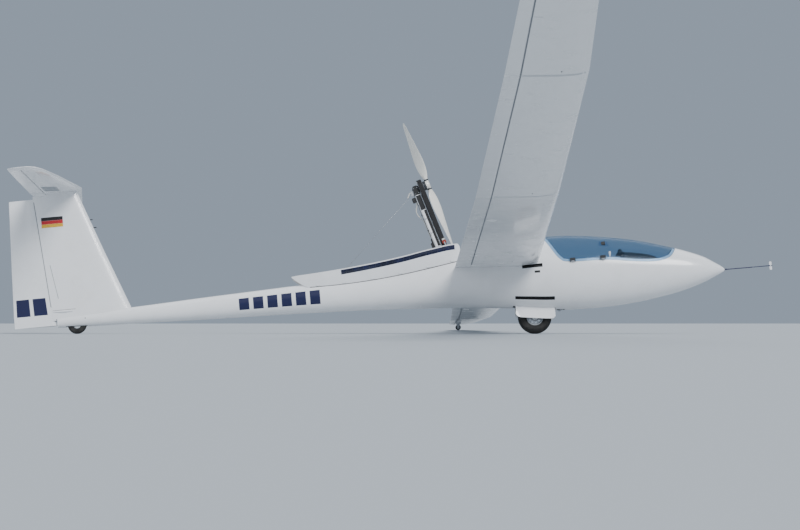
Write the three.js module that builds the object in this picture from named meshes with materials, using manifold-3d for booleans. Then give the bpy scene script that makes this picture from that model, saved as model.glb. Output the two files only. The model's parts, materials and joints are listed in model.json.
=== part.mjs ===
// Single-seat self-launching sailplane, parked with its engine pylon raised.
// Lengths are millimetres. The aircraft is drawn level: stations run aft from the nose tip,
// so X is minus the station, Y is port and Z is up. At the end the whole aircraft is tilted
// and rolled until it rests on its main wheel, its tail wheel and the port wing-tip wheel.

import * as THREE from 'three';
import { mergeVertices } from 'three/addons/utils/BufferGeometryUtils.js';
import Module from 'manifold-3d';

const wasm = await Module();
wasm.setup();

// Small gap between pieces that rest on each other, and clearance round pieces that move
const REST_GAP = 0.3;
const MOVING_GAP = 6;

// Fuselage shell
const SKIN = 12;
const SHELL_END = 4900;
const COCKPIT_START = 330;
const COCKPIT_END = 2000;
const BAY_START = 2780;
const BAY_END = 4800;

// Canopy
const GLASS = 6;
const CANOPY_GAP = 5;
const CANOPY_FRAME_WIDTH = 30;
const CANOPY_FRAME_DEPTH = 18;
const CANOPY_HINGE_Y = -306;
const CANOPY_HINGE_Z = 148;

// Wing planform, profile and control surfaces
const ROOT_PLANE_Z = 200;
const CAMBER = 0.02;
const ROOT_FAIRING_END = 325;
const SURFACE_CHORD = 0.17;
const SURFACE_END_GAP = 6;
const AILERON_END = 12900;

// Tail
const TAILPLANE_Z = 1450;
const TAILPLANE_HALF_SPAN = 1640;
const ELEVATOR_HINGE_STATION = 7420;
const ELEVATOR_HALF_SPAN = 1540;
const RUDDER_TOP = 1362;
const RUDDER_BOTTOM = -52;

// Wheels
const MAIN_WHEEL = { station: 2130, z: -400, radius: 185, width: 120, rim: 92, axle: 12 };
const TAIL_WHEEL = { station: 7141, z: -55, radius: 105, width: 60, rim: 45, axle: 8 };
const TIP_WHEEL = { station: 2560, y: 12960, radius: 46, width: 26, axle: 5, drop: 95 };

// Engine pylon: the pivot, and the lean of the raised pylon aft of upright
const PIVOT_STATION = 2916;
const PIVOT_Z = 200;
const PYLON_LEAN = 17;
const HUB_UP = 999;
const HUB_FORWARD = 38;

// Fuselage outline: station, top, bottom, height of the widest line and half width there
const FUSELAGE = [
  { station: 0, top: -44, bottom: -58, wide: -51, half: 7 },
  { station: 14, top: -27, bottom: -73, wide: -50, half: 23 },
  { station: 55, top: 4, bottom: -94, wide: -46, half: 48 },
  { station: 198, top: 98, bottom: -156, wide: -32, half: 125 },
  { station: 374, top: 175, bottom: -215, wide: -22, half: 175 },
  { station: 545, top: 236, bottom: -258, wide: -12, half: 207 },
  { station: 720, top: 290, bottom: -290, wide: 0, half: 237 },
  { station: 896, top: 341, bottom: -317, wide: 10, half: 258 },
  { station: 1071, top: 380, bottom: -336, wide: 18, half: 275 },
  { station: 1248, top: 412, bottom: -348, wide: 24, half: 288 },
  { station: 1423, top: 438, bottom: -354, wide: 30, half: 297 },
  { station: 1599, top: 458, bottom: -352, wide: 36, half: 302 },
  { station: 1774, top: 473, bottom: -348, wide: 42, half: 303 },
  { station: 1960, top: 476, bottom: -338, wide: 48, half: 301 },
  { station: 2186, top: 452, bottom: -310, wide: 52, half: 295 },
  { station: 2426, top: 420, bottom: -277, wide: 54, half: 284 },
  { station: 2692, top: 392, bottom: -249, wide: 52, half: 267 },
  { station: 2930, top: 366, bottom: -228, wide: 48, half: 249 },
  { station: 3227, top: 322, bottom: -210, wide: 40, half: 226 },
  { station: 3557, top: 268, bottom: -188, wide: 30, half: 203 },
  { station: 3900, top: 222, bottom: -171, wide: 20, half: 185 },
  { station: 4285, top: 188, bottom: -156, wide: 14, half: 169 },
  { station: 4900, top: 159, bottom: -138, wide: 9, half: 148 },
  { station: 5760, top: 121, bottom: -119, wide: 1, half: 120 },
  { station: 6500, top: 84, bottom: -98, wide: -7, half: 92 },
  { station: 7000, top: 66, bottom: -87, wide: -10, half: 77 },
  { station: 7200, top: 57, bottom: -82, wide: -12, half: 68 },
  { station: 7350, top: 46, bottom: -75, wide: -15, half: 54 },
];

// Canopy sill in side view, from the front of the canopy over the sill to its rear top
const SILL = [
  { station: 518, z: 240 },
  { station: 560, z: 168 },
  { station: 618, z: 114 },
  { station: 743, z: 80 },
  { station: 921, z: 85 },
  { station: 1098, z: 107 },
  { station: 1311, z: 135 },
  { station: 1713, z: 146 },
  { station: 1820, z: 190 },
  { station: 1910, z: 330 },
  { station: 1996, z: 500 },
];

// Engine-bay opening: station, height of the door hinge line and its distance from the middle
const BAY_EDGE = [
  { station: 2918, y: 172, z: 283 },
  { station: 3227, y: 166, z: 232 },
  { station: 3557, y: 152, z: 180 },
  { station: 3900, y: 138, z: 154 },
  { station: 4285, y: 120, z: 138 },
  { station: 4560, y: 104, z: 132 },
];
const BAY_TIP = 4780;

// Wing stations: distance from the middle, leading and trailing edge, height and thickness
const tangent = (degrees) => Math.tan(THREE.MathUtils.degToRad(degrees));
const INNER_TOP = ROOT_PLANE_Z + (4560 - 300) * tangent(1.5);
const MID_TOP = INNER_TOP + (9000 - 4560) * tangent(2.5);
const WING = [
  { y: 200, lead: 2043, trail: 2962, z: ROOT_PLANE_Z - 100 * tangent(1.5), thick: 0.147 },
  { y: 4560, lead: 2102, trail: 2862, z: INNER_TOP, thick: 0.143 },
  { y: 9000, lead: 2175, trail: 2785, z: MID_TOP, thick: 0.14 },
  { y: 12000, lead: 2290, trail: 2730, z: MID_TOP + 3000 * tangent(4), thick: 0.135 },
  { y: 12900, lead: 2393, trail: 2695, z: MID_TOP + 3900 * tangent(4), thick: 0.13 },
  { y: 13120, lead: 2436, trail: 2680, z: MID_TOP + 4125 * tangent(4.1), thick: 0.12 },
  { y: 13200, lead: 2500, trail: 2664, z: MID_TOP + 4210 * tangent(4.15), thick: 0.08 },
];

// Tailplane stations, the same columns
const TAILPLANE = [
  { y: 0, lead: 6989, trail: 7574, z: TAILPLANE_Z, thick: 0.12 },
  { y: 900, lead: 7108, trail: 7560, z: TAILPLANE_Z, thick: 0.12 },
  { y: 1400, lead: 7196, trail: 7551, z: TAILPLANE_Z, thick: 0.115 },
  { y: 1540, lead: 7244, trail: 7547, z: TAILPLANE_Z, thick: 0.11 },
  { y: 1610, lead: 7302, trail: 7540, z: TAILPLANE_Z, thick: 0.1 },
  { y: 1640, lead: 7370, trail: 7520, z: TAILPLANE_Z, thick: 0.07 },
];

// Fin and rudder: height, leading edge, hinge line, trailing edge and thickness
const FIN = [
  { z: -60, lead: 6478, hinge: 7404, trail: 7824, thick: 0.098 },
  { z: 70, lead: 6531, hinge: 7417, trail: 7828, thick: 0.099 },
  { z: 720, lead: 6786, hinge: 7480, trail: 7817, thick: 0.105 },
  { z: 1450, lead: 7060, hinge: 7551, trail: 7800, thick: 0.113 },
];

// Materials
const paint = (colour, roughness = 0.35, metalness = 0) =>
  new THREE.MeshStandardMaterial({ color: colour, roughness, metalness });
const GELCOAT = paint(0xf2f3f5, 0.22);
const PLEXIGLASS = new THREE.MeshStandardMaterial({
  color: 0xdfe8ec, roughness: 0.08, metalness: 0, transparent: true, opacity: 0.35,
});
const STEEL = paint(0xb9bcc0, 0.35, 0.9);
const DARK_STEEL = paint(0x3a3d42, 0.45, 0.8);
const ALUMINIUM = paint(0xc9ccd0, 0.3, 0.9);
const RUBBER = paint(0x1a1a1b, 0.85);
const NAVY = paint(0x1c2350, 0.4);
const SOLAR = paint(0x141a3c, 0.25);
const PANEL_GREY = paint(0x2c2e31, 0.7);
const FABRIC = paint(0x5a3a2a, 0.9);
const SHELL_GREY = paint(0xc9c6bd, 0.6);
const ENGINE_METAL = paint(0x55585c, 0.5, 0.7);

const glider = new THREE.Group();
const addMesh = (name, geometry, material, parent = glider) => {
  const mesh = new THREE.Mesh(geometry, material);
  mesh.name = name;
  parent.add(mesh);
  return mesh;
};

// A closed solid from a list of rings with the same number of points, capped at both ends.
const loft = (rings) => {
  const count = rings[0].length;
  const positions = [];
  for (const ring of rings) {
    for (const point of ring) positions.push(point.x, point.y, point.z);
  }
  const triangles = [];
  for (let row = 0; row + 1 < rings.length; row += 1) {
    for (let i = 0; i < count; i += 1) {
      const next = (i + 1) % count;
      const a = row * count + i;
      const b = row * count + next;
      triangles.push(a, b, b + count, a, b + count, a + count);
    }
  }
  for (const row of [0, rings.length - 1]) {
    const centre = new THREE.Vector3();
    for (const point of rings[row]) centre.addScaledVector(point, 1 / count);
    const hub = positions.length / 3;
    positions.push(centre.x, centre.y, centre.z);
    for (let i = 0; i < count; i += 1) {
      const a = row * count + i;
      const b = row * count + (i + 1) % count;
      if (row === 0) triangles.push(hub, b, a);
      else triangles.push(hub, a, b);
    }
  }
  return outward(positions, triangles);
};

// Turns the faces round when the triangles enclose a negative volume.
const outward = (positions, triangles) => {
  const corner = (i) => new THREE.Vector3().fromArray(positions, 3 * i);
  let volume = 0;
  for (let t = 0; t < triangles.length; t += 3) {
    const a = corner(triangles[t]);
    volume += a.dot(corner(triangles[t + 1]).cross(corner(triangles[t + 2])));
  }
  const order = [];
  for (let t = 0; t < triangles.length; t += 3) {
    if (volume > 0) order.push(triangles[t], triangles[t + 1], triangles[t + 2]);
    else order.push(triangles[t], triangles[t + 2], triangles[t + 1]);
  }
  const geometry = new THREE.BufferGeometry();
  geometry.setAttribute('position', new THREE.Float32BufferAttribute(positions, 3));
  geometry.setIndex(order);
  return geometry;
};

// Joins and cuts of closed solids
const solid = (geometry) => {
  const bare = geometry.clone();
  for (const name of Object.keys(bare.attributes)) {
    if (name !== 'position') bare.deleteAttribute(name);
  }
  const merged = mergeVertices(bare, 1e-3);
  return new wasm.Manifold(new wasm.Mesh({
    numProp: 3,
    vertProperties: new Float32Array(merged.attributes.position.array),
    triVerts: new Uint32Array(merged.index.array),
  }));
};
const shape = (manifold) => {
  const mesh = manifold.getMesh();
  const geometry = new THREE.BufferGeometry();
  geometry.setAttribute('position', new THREE.BufferAttribute(mesh.vertProperties, 3));
  geometry.setIndex(new THREE.BufferAttribute(mesh.triVerts, 1));
  return geometry;
};
const join = (...geometries) => shape(geometries.map(solid).reduce((a, b) => a.add(b)));
const cut = (geometry, ...tools) =>
  shape(tools.map(solid).reduce((body, tool) => body.subtract(tool), solid(geometry)));
const overlap = (geometry, other) => shape(solid(geometry).intersect(solid(other)));

// Simple solids placed by stations: a box between two corners, a cylinder along an axis,
// and a side-view outline pulled out between two distances from the middle.
const box = (from, to) => {
  const size = { x: to.station - from.station, y: to.y - from.y, z: to.z - from.z };
  const geometry = new THREE.BoxGeometry(size.x, size.y, size.z);
  geometry.translate(-(from.station + to.station) / 2, (from.y + to.y) / 2, (from.z + to.z) / 2);
  return geometry;
};
const rod = (from, to, radius, sides = 20, endRadius = radius) => {
  const axis = new THREE.Vector3().subVectors(to, from);
  const geometry = new THREE.CylinderGeometry(endRadius, radius, axis.length(), sides);
  const turn = new THREE.Quaternion().setFromUnitVectors(
    new THREE.Vector3(0, 1, 0), axis.clone().normalize());
  geometry.applyQuaternion(turn);
  geometry.translate((from.x + to.x) / 2, (from.y + to.y) / 2, (from.z + to.z) / 2);
  return geometry;
};
const at = (station, y, z) => new THREE.Vector3(-station, y, z);
const sidePlate = (outline, fromY, toY) => {
  const rings = [fromY, toY].map((y) => outline.map(([station, z]) => at(station, y, z)));
  const flat = outline.map(([station, z]) => new THREE.Vector2(station, z));
  const faces = THREE.ShapeUtils.triangulateShape(flat, []);
  const count = outline.length;
  const positions = rings.flat().flatMap((point) => [point.x, point.y, point.z]);
  const triangles = [];
  for (const [a, b, c] of faces) {
    triangles.push(a, c, b, a + count, b + count, c + count);
  }
  const anticlockwise = THREE.ShapeUtils.area(flat) > 0;
  for (let i = 0; i < count; i += 1) {
    const next = (i + 1) % count;
    if (anticlockwise) triangles.push(i, next, next + count, i, next + count, i + count);
    else triangles.push(i, next + count, next, i, i + count, next + count);
  }
  return outward(positions, triangles);
};

// Straight-line value of one column of a table, read against another column
const between = (table, key, value, column) => {
  const last = table.length - 1;
  let i = 0;
  while (i < last - 1 && table[i + 1][key] < value) i += 1;
  const low = table[i];
  const high = table[i + 1];
  const share = (value - low[key]) / (high[key] - low[key]);
  return low[column] + share * (high[column] - low[column]);
};

// Fuselage section at a station: half an ellipse above the widest line and half below it
const fuselagePoint = (station, angle, inset = 0) => {
  const half = between(FUSELAGE, 'station', station, 'half') - inset;
  const wide = between(FUSELAGE, 'station', station, 'wide');
  const top = between(FUSELAGE, 'station', station, 'top') - inset;
  const bottom = between(FUSELAGE, 'station', station, 'bottom') + inset;
  const rise = Math.sin(angle) > 0 ? top - wide : wide - bottom;
  return at(station, half * Math.cos(angle), wide + rise * Math.sin(angle));
};
const fuselageLoft = (from, to, inset, sides = 24) => {
  const inside = FUSELAGE.map((row) => row.station).filter((s) => s > from && s < to);
  const stations = [from, ...inside, to];
  return loft(stations.map((station) => {
    const ring = [];
    for (let i = 0; i < sides; i += 1) {
      ring.push(fuselagePoint(station, (2 * Math.PI * i) / sides, inset));
    }
    return ring;
  }));
};
const BOOM_END = FUSELAGE[FUSELAGE.length - 1].station;

// The side-view region above the sill, raised by a gap and moved inside the canopy's ends.
// Each sill point moves along the line that halves the angle between its neighbours.
const sillLine = (offset) => SILL.map((point, i) => {
  const before = SILL[Math.max(i - 1, 0)];
  const after = SILL[Math.min(i + 1, SILL.length - 1)];
  const run = after.station - before.station;
  const climb = after.z - before.z;
  const length = Math.hypot(run, climb);
  return [point.station - (climb / length) * offset, point.z + (run / length) * offset];
});
const HIGH = 900;
const WIDE = 500;
const aboveSill = (offset) => {
  const line = sillLine(offset);
  const front = line[0];
  const rear = line[line.length - 1];
  return sidePlate([...line, [rear[0] + 30, HIGH], [front[0] - 30, HIGH]], -WIDE, WIDE);
};

// Fuselage forward of the tail boom: cockpit, wheel well and engine bay are hollow
const WELL = { front: 1900, rear: 2362, half: 96, top: -176 };
const wellBox = box(
  { station: WELL.front, y: -WELL.half, z: -HIGH },
  { station: WELL.rear, y: WELL.half, z: WELL.top });
const seatBulkhead = sidePlate(
  [[1862, -HIGH], [1862, 190], [1948, 338], [2010, 470], [2010, HIGH], [2100, HIGH], [2100, -HIGH]],
  -WIDE, WIDE);
const cockpitHollow = cut(fuselageLoft(COCKPIT_START, COCKPIT_END, SKIN), seatBulkhead);
const bayHollow = fuselageLoft(BAY_START, BAY_END, SKIN);
const bayOutline = [
  ...BAY_EDGE.map((row) => [row.station, row.y]),
  [BAY_TIP, 0],
  ...BAY_EDGE.map((row) => [row.station, -row.y]).reverse(),
];
// The bay opening is cut straight down from above, inside the two hinge lines.
const planPlate = (outline, fromZ, toZ) => {
  const turned = sidePlate(outline, fromZ, toZ);
  const positions = turned.attributes.position;
  for (let i = 0; i < positions.count; i += 1) {
    const height = positions.getY(i);
    positions.setY(i, positions.getZ(i));
    positions.setZ(i, height);
  }
  return outward(Array.from(positions.array), Array.from(turned.index.array));
};
const bayOpening = planPlate(bayOutline, 60, HIGH);
const hollowShell = cut(
  fuselageLoft(0, SHELL_END, 0),
  cockpitHollow, aboveSill(0), wellBox, bayHollow, bayOpening);
// Round bosses inside the bay walls carry the pylon's cross shaft.
const BOSS = { inner: 190, outer: 203, radius: 24 };
const bosses = [1, -1].map((sign) => rod(
  at(PIVOT_STATION, sign * BOSS.inner, PIVOT_Z), at(PIVOT_STATION, sign * BOSS.outer, PIVOT_Z),
  BOSS.radius, 20));

// Canopy hinges on the starboard sill: the shell carries a pin on the hinge line at each, and
// the canopy a bracket with an ear at each end of the pin.
const CANOPY_PIN = { radius: 6, half: 18, stations: [1350, 1680] };
const hingePoint = (station) => at(station, CANOPY_HINGE_Y, CANOPY_HINGE_Z);
const canopyPins = CANOPY_PIN.stations.map((station) => join(
  rod(hingePoint(station - CANOPY_PIN.half), hingePoint(station + CANOPY_PIN.half),
    CANOPY_PIN.radius, 12),
  rod(hingePoint(station), at(station, CANOPY_HINGE_Y + 26, CANOPY_HINGE_Z - 26), 5, 6)));
addMesh('fuselage_shell', join(hollowShell, ...bosses, ...canopyPins), GELCOAT);

// Canopy: the glass, and the frame ring inside its lower edge
const canopy = new THREE.Group();
glider.add(canopy);
const canopyEdge = aboveSill(CANOPY_GAP);
const glass = overlap(
  cut(fuselageLoft(400, 2150, 0), fuselageLoft(390, 2160, GLASS)), canopyEdge);
addMesh('canopy_glass', glass, PLEXIGLASS, canopy);
const frameDepth = GLASS + REST_GAP + CANOPY_FRAME_DEPTH;
const canopyFrame = cut(
  overlap(
    cut(fuselageLoft(400, 2150, GLASS + REST_GAP), fuselageLoft(390, 2160, frameDepth)),
    canopyEdge),
  aboveSill(CANOPY_GAP + CANOPY_FRAME_WIDTH));
addMesh('canopy_frame', canopyFrame, PANEL_GREY, canopy);
const HINGE_EAR = { radius: 8, reach: 30 };
const HINGE_SLAB = { outer: -6, inner: 26, low: 6, high: 36 };
const glassClearance = fuselageLoft(400, 2150, -REST_GAP);
CANOPY_PIN.stations.forEach((station, i) => {
  const gap = CANOPY_PIN.half + REST_GAP;
  const ears = [-1, 1].map((end) => rod(
    hingePoint(station + end * gap), hingePoint(station + end * HINGE_EAR.reach),
    HINGE_EAR.radius, 12));
  const slab = box(
    { station: station - HINGE_EAR.reach, y: CANOPY_HINGE_Y + HINGE_SLAB.outer,
      z: CANOPY_HINGE_Z + HINGE_SLAB.low },
    { station: station + HINGE_EAR.reach, y: CANOPY_HINGE_Y + HINGE_SLAB.inner,
      z: CANOPY_HINGE_Z + HINGE_SLAB.high });
  const pinSpace = rod(
    hingePoint(station - gap), hingePoint(station + gap), CANOPY_PIN.radius + 1, 12);
  const bracket = cut(join(...ears, slab), glassClearance, pinSpace);
  addMesh(`canopy_hinge_${i === 0 ? 'front' : 'rear'}`, bracket, PANEL_GREY, canopy);
});

// Solid tail boom, with a well for the tail wheel
const TAIL_WELL = { front: 7024, rear: 7258, half: 36, top: 56 };
const tailWell = box(
  { station: TAIL_WELL.front, y: -TAIL_WELL.half, z: -HIGH },
  { station: TAIL_WELL.rear, y: TAIL_WELL.half, z: TAIL_WELL.top });
const tailBoom = cut(fuselageLoft(SHELL_END + REST_GAP, BOOM_END, 0), tailWell);

// Half thickness and middle line of the wing section, as shares of the chord
const halfThickness = (x, thick) =>
  5 * thick * (0.2969 * Math.sqrt(x) - 0.126 * x - 0.3516 * x ** 2 + 0.2843 * x ** 3 - 0.1005 * x ** 4);
const middleLine = (x, camber) => 4 * camber * x * (1 - x);

// A point of a lifting surface at a distance from the middle, a share of the chord behind the
// leading edge, on the upper (1), lower (-1) or middle (0) line
const surfacePoint = (table, y, x, side, camber, grow = 0) => {
  const lead = between(table, 'y', y, 'lead');
  const chord = between(table, 'y', y, 'trail') - lead;
  const thick = between(table, 'y', y, 'thick');
  const half = halfThickness(x, thick) * chord + grow;
  const z = between(table, 'y', y, 'z') + middleLine(x, camber) * chord + side * half;
  return { station: lead + x * chord, z, half, chord };
};
const PROFILE_STEPS = [1, 0.76, 0.54, 0.36, 0.21, 0.1, 0.036, 0.008];
const profileRing = (table, y, sign, rear, camber, grow = 0) => {
  const steps = PROFILE_STEPS.map((share) => share * rear);
  const upper = steps.map((x) => surfacePoint(table, y, x, 1, camber, grow));
  const lower = steps.map((x) => surfacePoint(table, y, x, -1, camber, grow)).reverse();
  const nose = surfacePoint(table, y, 0, 0, camber);
  nose.station -= grow;
  return [...upper, nose, ...lower].map((point) => at(point.station, sign * y, point.z));
};

// Fixed part of a lifting surface between two distances from the middle. It ends in a flat face
// ahead of the control surface, or runs to the trailing edge where there is none.
const stationsBetween = (table, from, to) =>
  [from, ...table.map((row) => row.y).filter((y) => y > from + 1 && y < to - 1), to];
const fixedLoft = (table, from, to, sign, rearShare, camber, grow = 0) =>
  loft(stationsBetween(table, from, to).map(
    (y) => profileRing(table, y, sign, rearShare(y), camber, grow)));
const wholeChord = () => 1;

// Hinge line of a wing control surface: a point on it and the radius of the round nose there
const wingHinge = (y) => {
  const point = surfacePoint(WING, y, 1 - SURFACE_CHORD, 0, CAMBER);
  return { station: point.station, z: point.z, radius: point.half };
};
const wingRear = (y) => {
  const hinge = wingHinge(y);
  const nose = surfacePoint(WING, y, 0, 0, CAMBER);
  return (hinge.station - hinge.radius - MOVING_GAP - nose.station) / nose.chord;
};

// A control surface: round nose on the hinge line, straight sides to a thin trailing edge
const EDGE_HALF = 1;
const NOSE_POINTS = 6;
const surfaceRing = (hinge, edge, place) => {
  const ring = [place(edge.station, edge.z + EDGE_HALF)];
  for (let i = 0; i < NOSE_POINTS; i += 1) {
    const angle = Math.PI / 2 + (Math.PI * i) / (NOSE_POINTS - 1);
    ring.push(place(
      hinge.station - hinge.radius * Math.cos(angle - Math.PI),
      hinge.z + hinge.radius * Math.sin(angle)));
  }
  ring.push(place(edge.station, edge.z - EDGE_HALF));
  return ring;
};

// Hinge pins: the fixed part carries a pin on the hinge line, in a notch of the moving surface
const PIN_LENGTH = 36;
const STRUT_LIMIT = 0.8 * PIN_LENGTH;
const PIN_SHARE = 0.6;
const STRUT_SHARE = 0.45;
const NOTCH_SHARE = 1.08;
const pinPair = (centre, direction, radius, reach) => {
  const half = direction.clone().normalize().multiplyScalar(PIN_LENGTH / 2);
  const notchHalf = half.clone().multiplyScalar(1 + (2 * REST_GAP) / PIN_LENGTH);
  const low = centre.clone().sub(half);
  const high = centre.clone().add(half);
  const pin = rod(low, high, radius * PIN_SHARE, 10);
  const strut = rod(reach, centre, Math.min(radius, STRUT_LIMIT) * STRUT_SHARE, 6);
  const notch = rod(
    centre.clone().sub(notchHalf), centre.clone().add(notchHalf), radius * NOTCH_SHARE, 10);
  return { fixed: join(pin, strut), notch };
};

// The three control surfaces of each wing, and the pins that carry them
const SURFACES = [
  { name: 'flap', from: 331, to: 4557, panel: 'inner' },
  { name: 'aileron_mid', from: 4563, to: 8997, panel: 'mid' },
  { name: 'aileron_outer', from: 9003, to: 12884, panel: 'outer' },
];
const PIN_SHARES = [0.15, 0.85];
const SIDES = [{ side: 'left', sign: 1 }, { side: 'right', sign: -1 }];
const wingPins = (surface, sign) => PIN_SHARES.map((share) => {
  const y = surface.from + share * (surface.to - surface.from);
  const hinge = wingHinge(y);
  const ahead = wingHinge(y + 100);
  const direction = new THREE.Vector3(
    -(ahead.station - hinge.station), sign * 100, ahead.z - hinge.z);
  const reach = at(hinge.station - hinge.radius - MOVING_GAP - 15, sign * y, hinge.z);
  return pinPair(at(hinge.station, sign * y, hinge.z), direction, hinge.radius, reach);
});

// Wing panels. The inner one is cut to the fuselage side.
const fuselageClearance = fuselageLoft(1500, 3600, -REST_GAP);
const PANELS = [
  { name: 'inner', from: ROOT_FAIRING_END - 5, to: 4560 },
  { name: 'mid', from: 4560 + REST_GAP, to: 9000 },
  { name: 'outer', from: 9000 + REST_GAP, to: AILERON_END },
];
const TIP_END = WING[WING.length - 1].y;
const hinges = {};
for (const { side, sign } of SIDES) {
  for (const panel of PANELS) {
    const surface = SURFACES.find((row) => row.panel === panel.name);
    const pins = wingPins(surface, sign);
    let body = fixedLoft(WING, panel.from, panel.to, sign, wingRear, CAMBER);
    if (panel.name === 'inner') {
      const root = fixedLoft(WING, WING[0].y, ROOT_FAIRING_END, sign, wholeChord, CAMBER);
      body = cut(join(body, root), fuselageClearance);
    }
    if (panel.name === 'outer') {
      body = join(body, fixedLoft(WING, AILERON_END - 10, TIP_END, sign, wholeChord, CAMBER));
    }
    const panelMesh = join(body, ...pins.map((pin) => pin.fixed));
    addMesh(`wing_${panel.name}_${side}`, panelMesh, GELCOAT);
    const rings = stationsBetween(WING, surface.from, surface.to).map((y) => surfaceRing(
      wingHinge(y), surfacePoint(WING, y, 1, 0, CAMBER), (station, z) => at(station, sign * y, z)));
    const moving = cut(loft(rings), ...pins.map((pin) => pin.notch));
    addMesh(`${surface.name}_${side}`, moving, GELCOAT);
    const first = wingHinge(surface.from);
    const last = wingHinge(surface.to);
    hinges[`${surface.name}_${side}`] = [
      at(first.station, sign * surface.from, first.z), at(last.station, sign * surface.to, last.z)];
  }
}

// Tailplane with its elevator in one piece across the whole span
const tailHinge = (y) => {
  const lead = between(TAILPLANE, 'y', Math.abs(y), 'lead');
  const chord = between(TAILPLANE, 'y', Math.abs(y), 'trail') - lead;
  const share = (ELEVATOR_HINGE_STATION - lead) / chord;
  const half = halfThickness(share, between(TAILPLANE, 'y', Math.abs(y), 'thick')) * chord;
  return { station: ELEVATOR_HINGE_STATION, z: TAILPLANE_Z, radius: half, lead, chord };
};
const tailRear = (y) => {
  const hinge = tailHinge(y);
  return (hinge.station - hinge.radius - MOVING_GAP - hinge.lead) / hinge.chord;
};
const mirrored = (table, limit) => {
  const distances = table.map((row) => row.y).filter((y) => y > 1 && y < limit);
  return [-limit, ...distances.map((y) => -y).reverse(), 0, ...distances, limit];
};
const tailRings = (limit, rearShare, grow) => mirrored(TAILPLANE, limit).map((y) => {
  const sign = y < 0 ? -1 : 1;
  return profileRing(TAILPLANE, Math.abs(y), sign, rearShare(Math.abs(y)), 0, grow);
});
const ELEVATOR_PINS = [-1050, 1050];
const RUDDER_PINS = [220, 1200];
const elevatorPins = ELEVATOR_PINS.map((y) => {
  const hinge = tailHinge(y);
  const reach = at(hinge.station - hinge.radius - MOVING_GAP - 15, y, hinge.z);
  return pinPair(at(hinge.station, y, hinge.z), new THREE.Vector3(0, 1, 0), hinge.radius, reach);
});
const tips = SIDES.map(({ sign }) => fixedLoft(
  TAILPLANE, ELEVATOR_HALF_SPAN + SURFACE_END_GAP, TAILPLANE_HALF_SPAN, sign, wholeChord, 0));
const tailplane = join(
  loft(tailRings(ELEVATOR_HALF_SPAN + SURFACE_END_GAP + 4, tailRear, 0)),
  ...tips, ...elevatorPins.map((pin) => pin.fixed));
addMesh('tailplane', tailplane, GELCOAT);
const elevatorRings = mirrored(TAILPLANE, ELEVATOR_HALF_SPAN).map((y) => {
  const edge = surfacePoint(TAILPLANE, Math.abs(y), 1, 0, 0);
  return surfaceRing(tailHinge(y), edge, (station, z) => at(station, y, z));
});
addMesh('elevator', cut(loft(elevatorRings), ...elevatorPins.map((pin) => pin.notch)), GELCOAT);
hinges.elevator = [
  at(ELEVATOR_HINGE_STATION, -ELEVATOR_HALF_SPAN, TAILPLANE_Z),
  at(ELEVATOR_HINGE_STATION, ELEVATOR_HALF_SPAN, TAILPLANE_Z)];

// Fin and rudder
const finHinge = (z) => {
  const lead = between(FIN, 'z', z, 'lead');
  const chord = between(FIN, 'z', z, 'trail') - lead;
  const station = between(FIN, 'z', z, 'hinge');
  const half = halfThickness((station - lead) / chord, between(FIN, 'z', z, 'thick')) * chord;
  return { station, z: 0, radius: half, lead, chord };
};
const finRing = (z) => {
  const hinge = finHinge(z);
  const thick = between(FIN, 'z', z, 'thick');
  const rear = (hinge.station - hinge.radius - MOVING_GAP - hinge.lead) / hinge.chord;
  const steps = PROFILE_STEPS.map((share) => share * rear);
  const side = (sign) => steps.map((x) => at(
    hinge.lead + x * hinge.chord, sign * halfThickness(x, thick) * hinge.chord, z));
  return [...side(1), at(hinge.lead, 0, z), ...side(-1).reverse()];
};
const rudderPins = RUDDER_PINS.map((z) => {
  const hinge = finHinge(z);
  const above = finHinge(z + 100);
  const direction = new THREE.Vector3(-(above.station - hinge.station), 0, 100);
  const reach = at(hinge.station - hinge.radius - MOVING_GAP - 15, 0, z);
  return pinPair(at(hinge.station, 0, z), direction, hinge.radius, reach);
});
// The fin stops under the tailplane, and lower down behind it, clear of the elevator.
const ELEVATOR_CLEAR = { station: ELEVATOR_HINGE_STATION - 40, z: 1392 };
const elevatorSpace = box(
  { station: ELEVATOR_CLEAR.station, y: -WIDE, z: ELEVATOR_CLEAR.z },
  { station: ELEVATOR_CLEAR.station + WIDE, y: WIDE, z: ELEVATOR_CLEAR.z + WIDE });
const FIN_HEIGHTS = [0, 70, 720, TAILPLANE_Z];
const tailplaneClearance = loft(tailRings(900, tailRear, REST_GAP));
const boomClearance = fuselageLoft(6000, BOOM_END + REST_GAP, -REST_GAP);
const finBody = cut(loft(FIN_HEIGHTS.map(finRing)), tailplaneClearance, boomClearance, elevatorSpace);
addMesh('tail_boom', tailBoom, GELCOAT);
addMesh('fin', join(finBody, ...rudderPins.map((pin) => pin.fixed)), GELCOAT);
const rudderRings = [RUDDER_BOTTOM, 70, 720, RUDDER_TOP].map((z) => surfaceRing(
  finHinge(z), { station: between(FIN, 'z', z, 'trail'), z: 0 },
  (station, across) => at(station, across, z)));
addMesh('rudder', cut(loft(rudderRings), ...rudderPins.map((pin) => pin.notch)), GELCOAT);
hinges.rudder = [
  at(finHinge(RUDDER_BOTTOM).station, 0, RUDDER_BOTTOM), at(finHinge(RUDDER_TOP).station, 0, RUDDER_TOP)];

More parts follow.
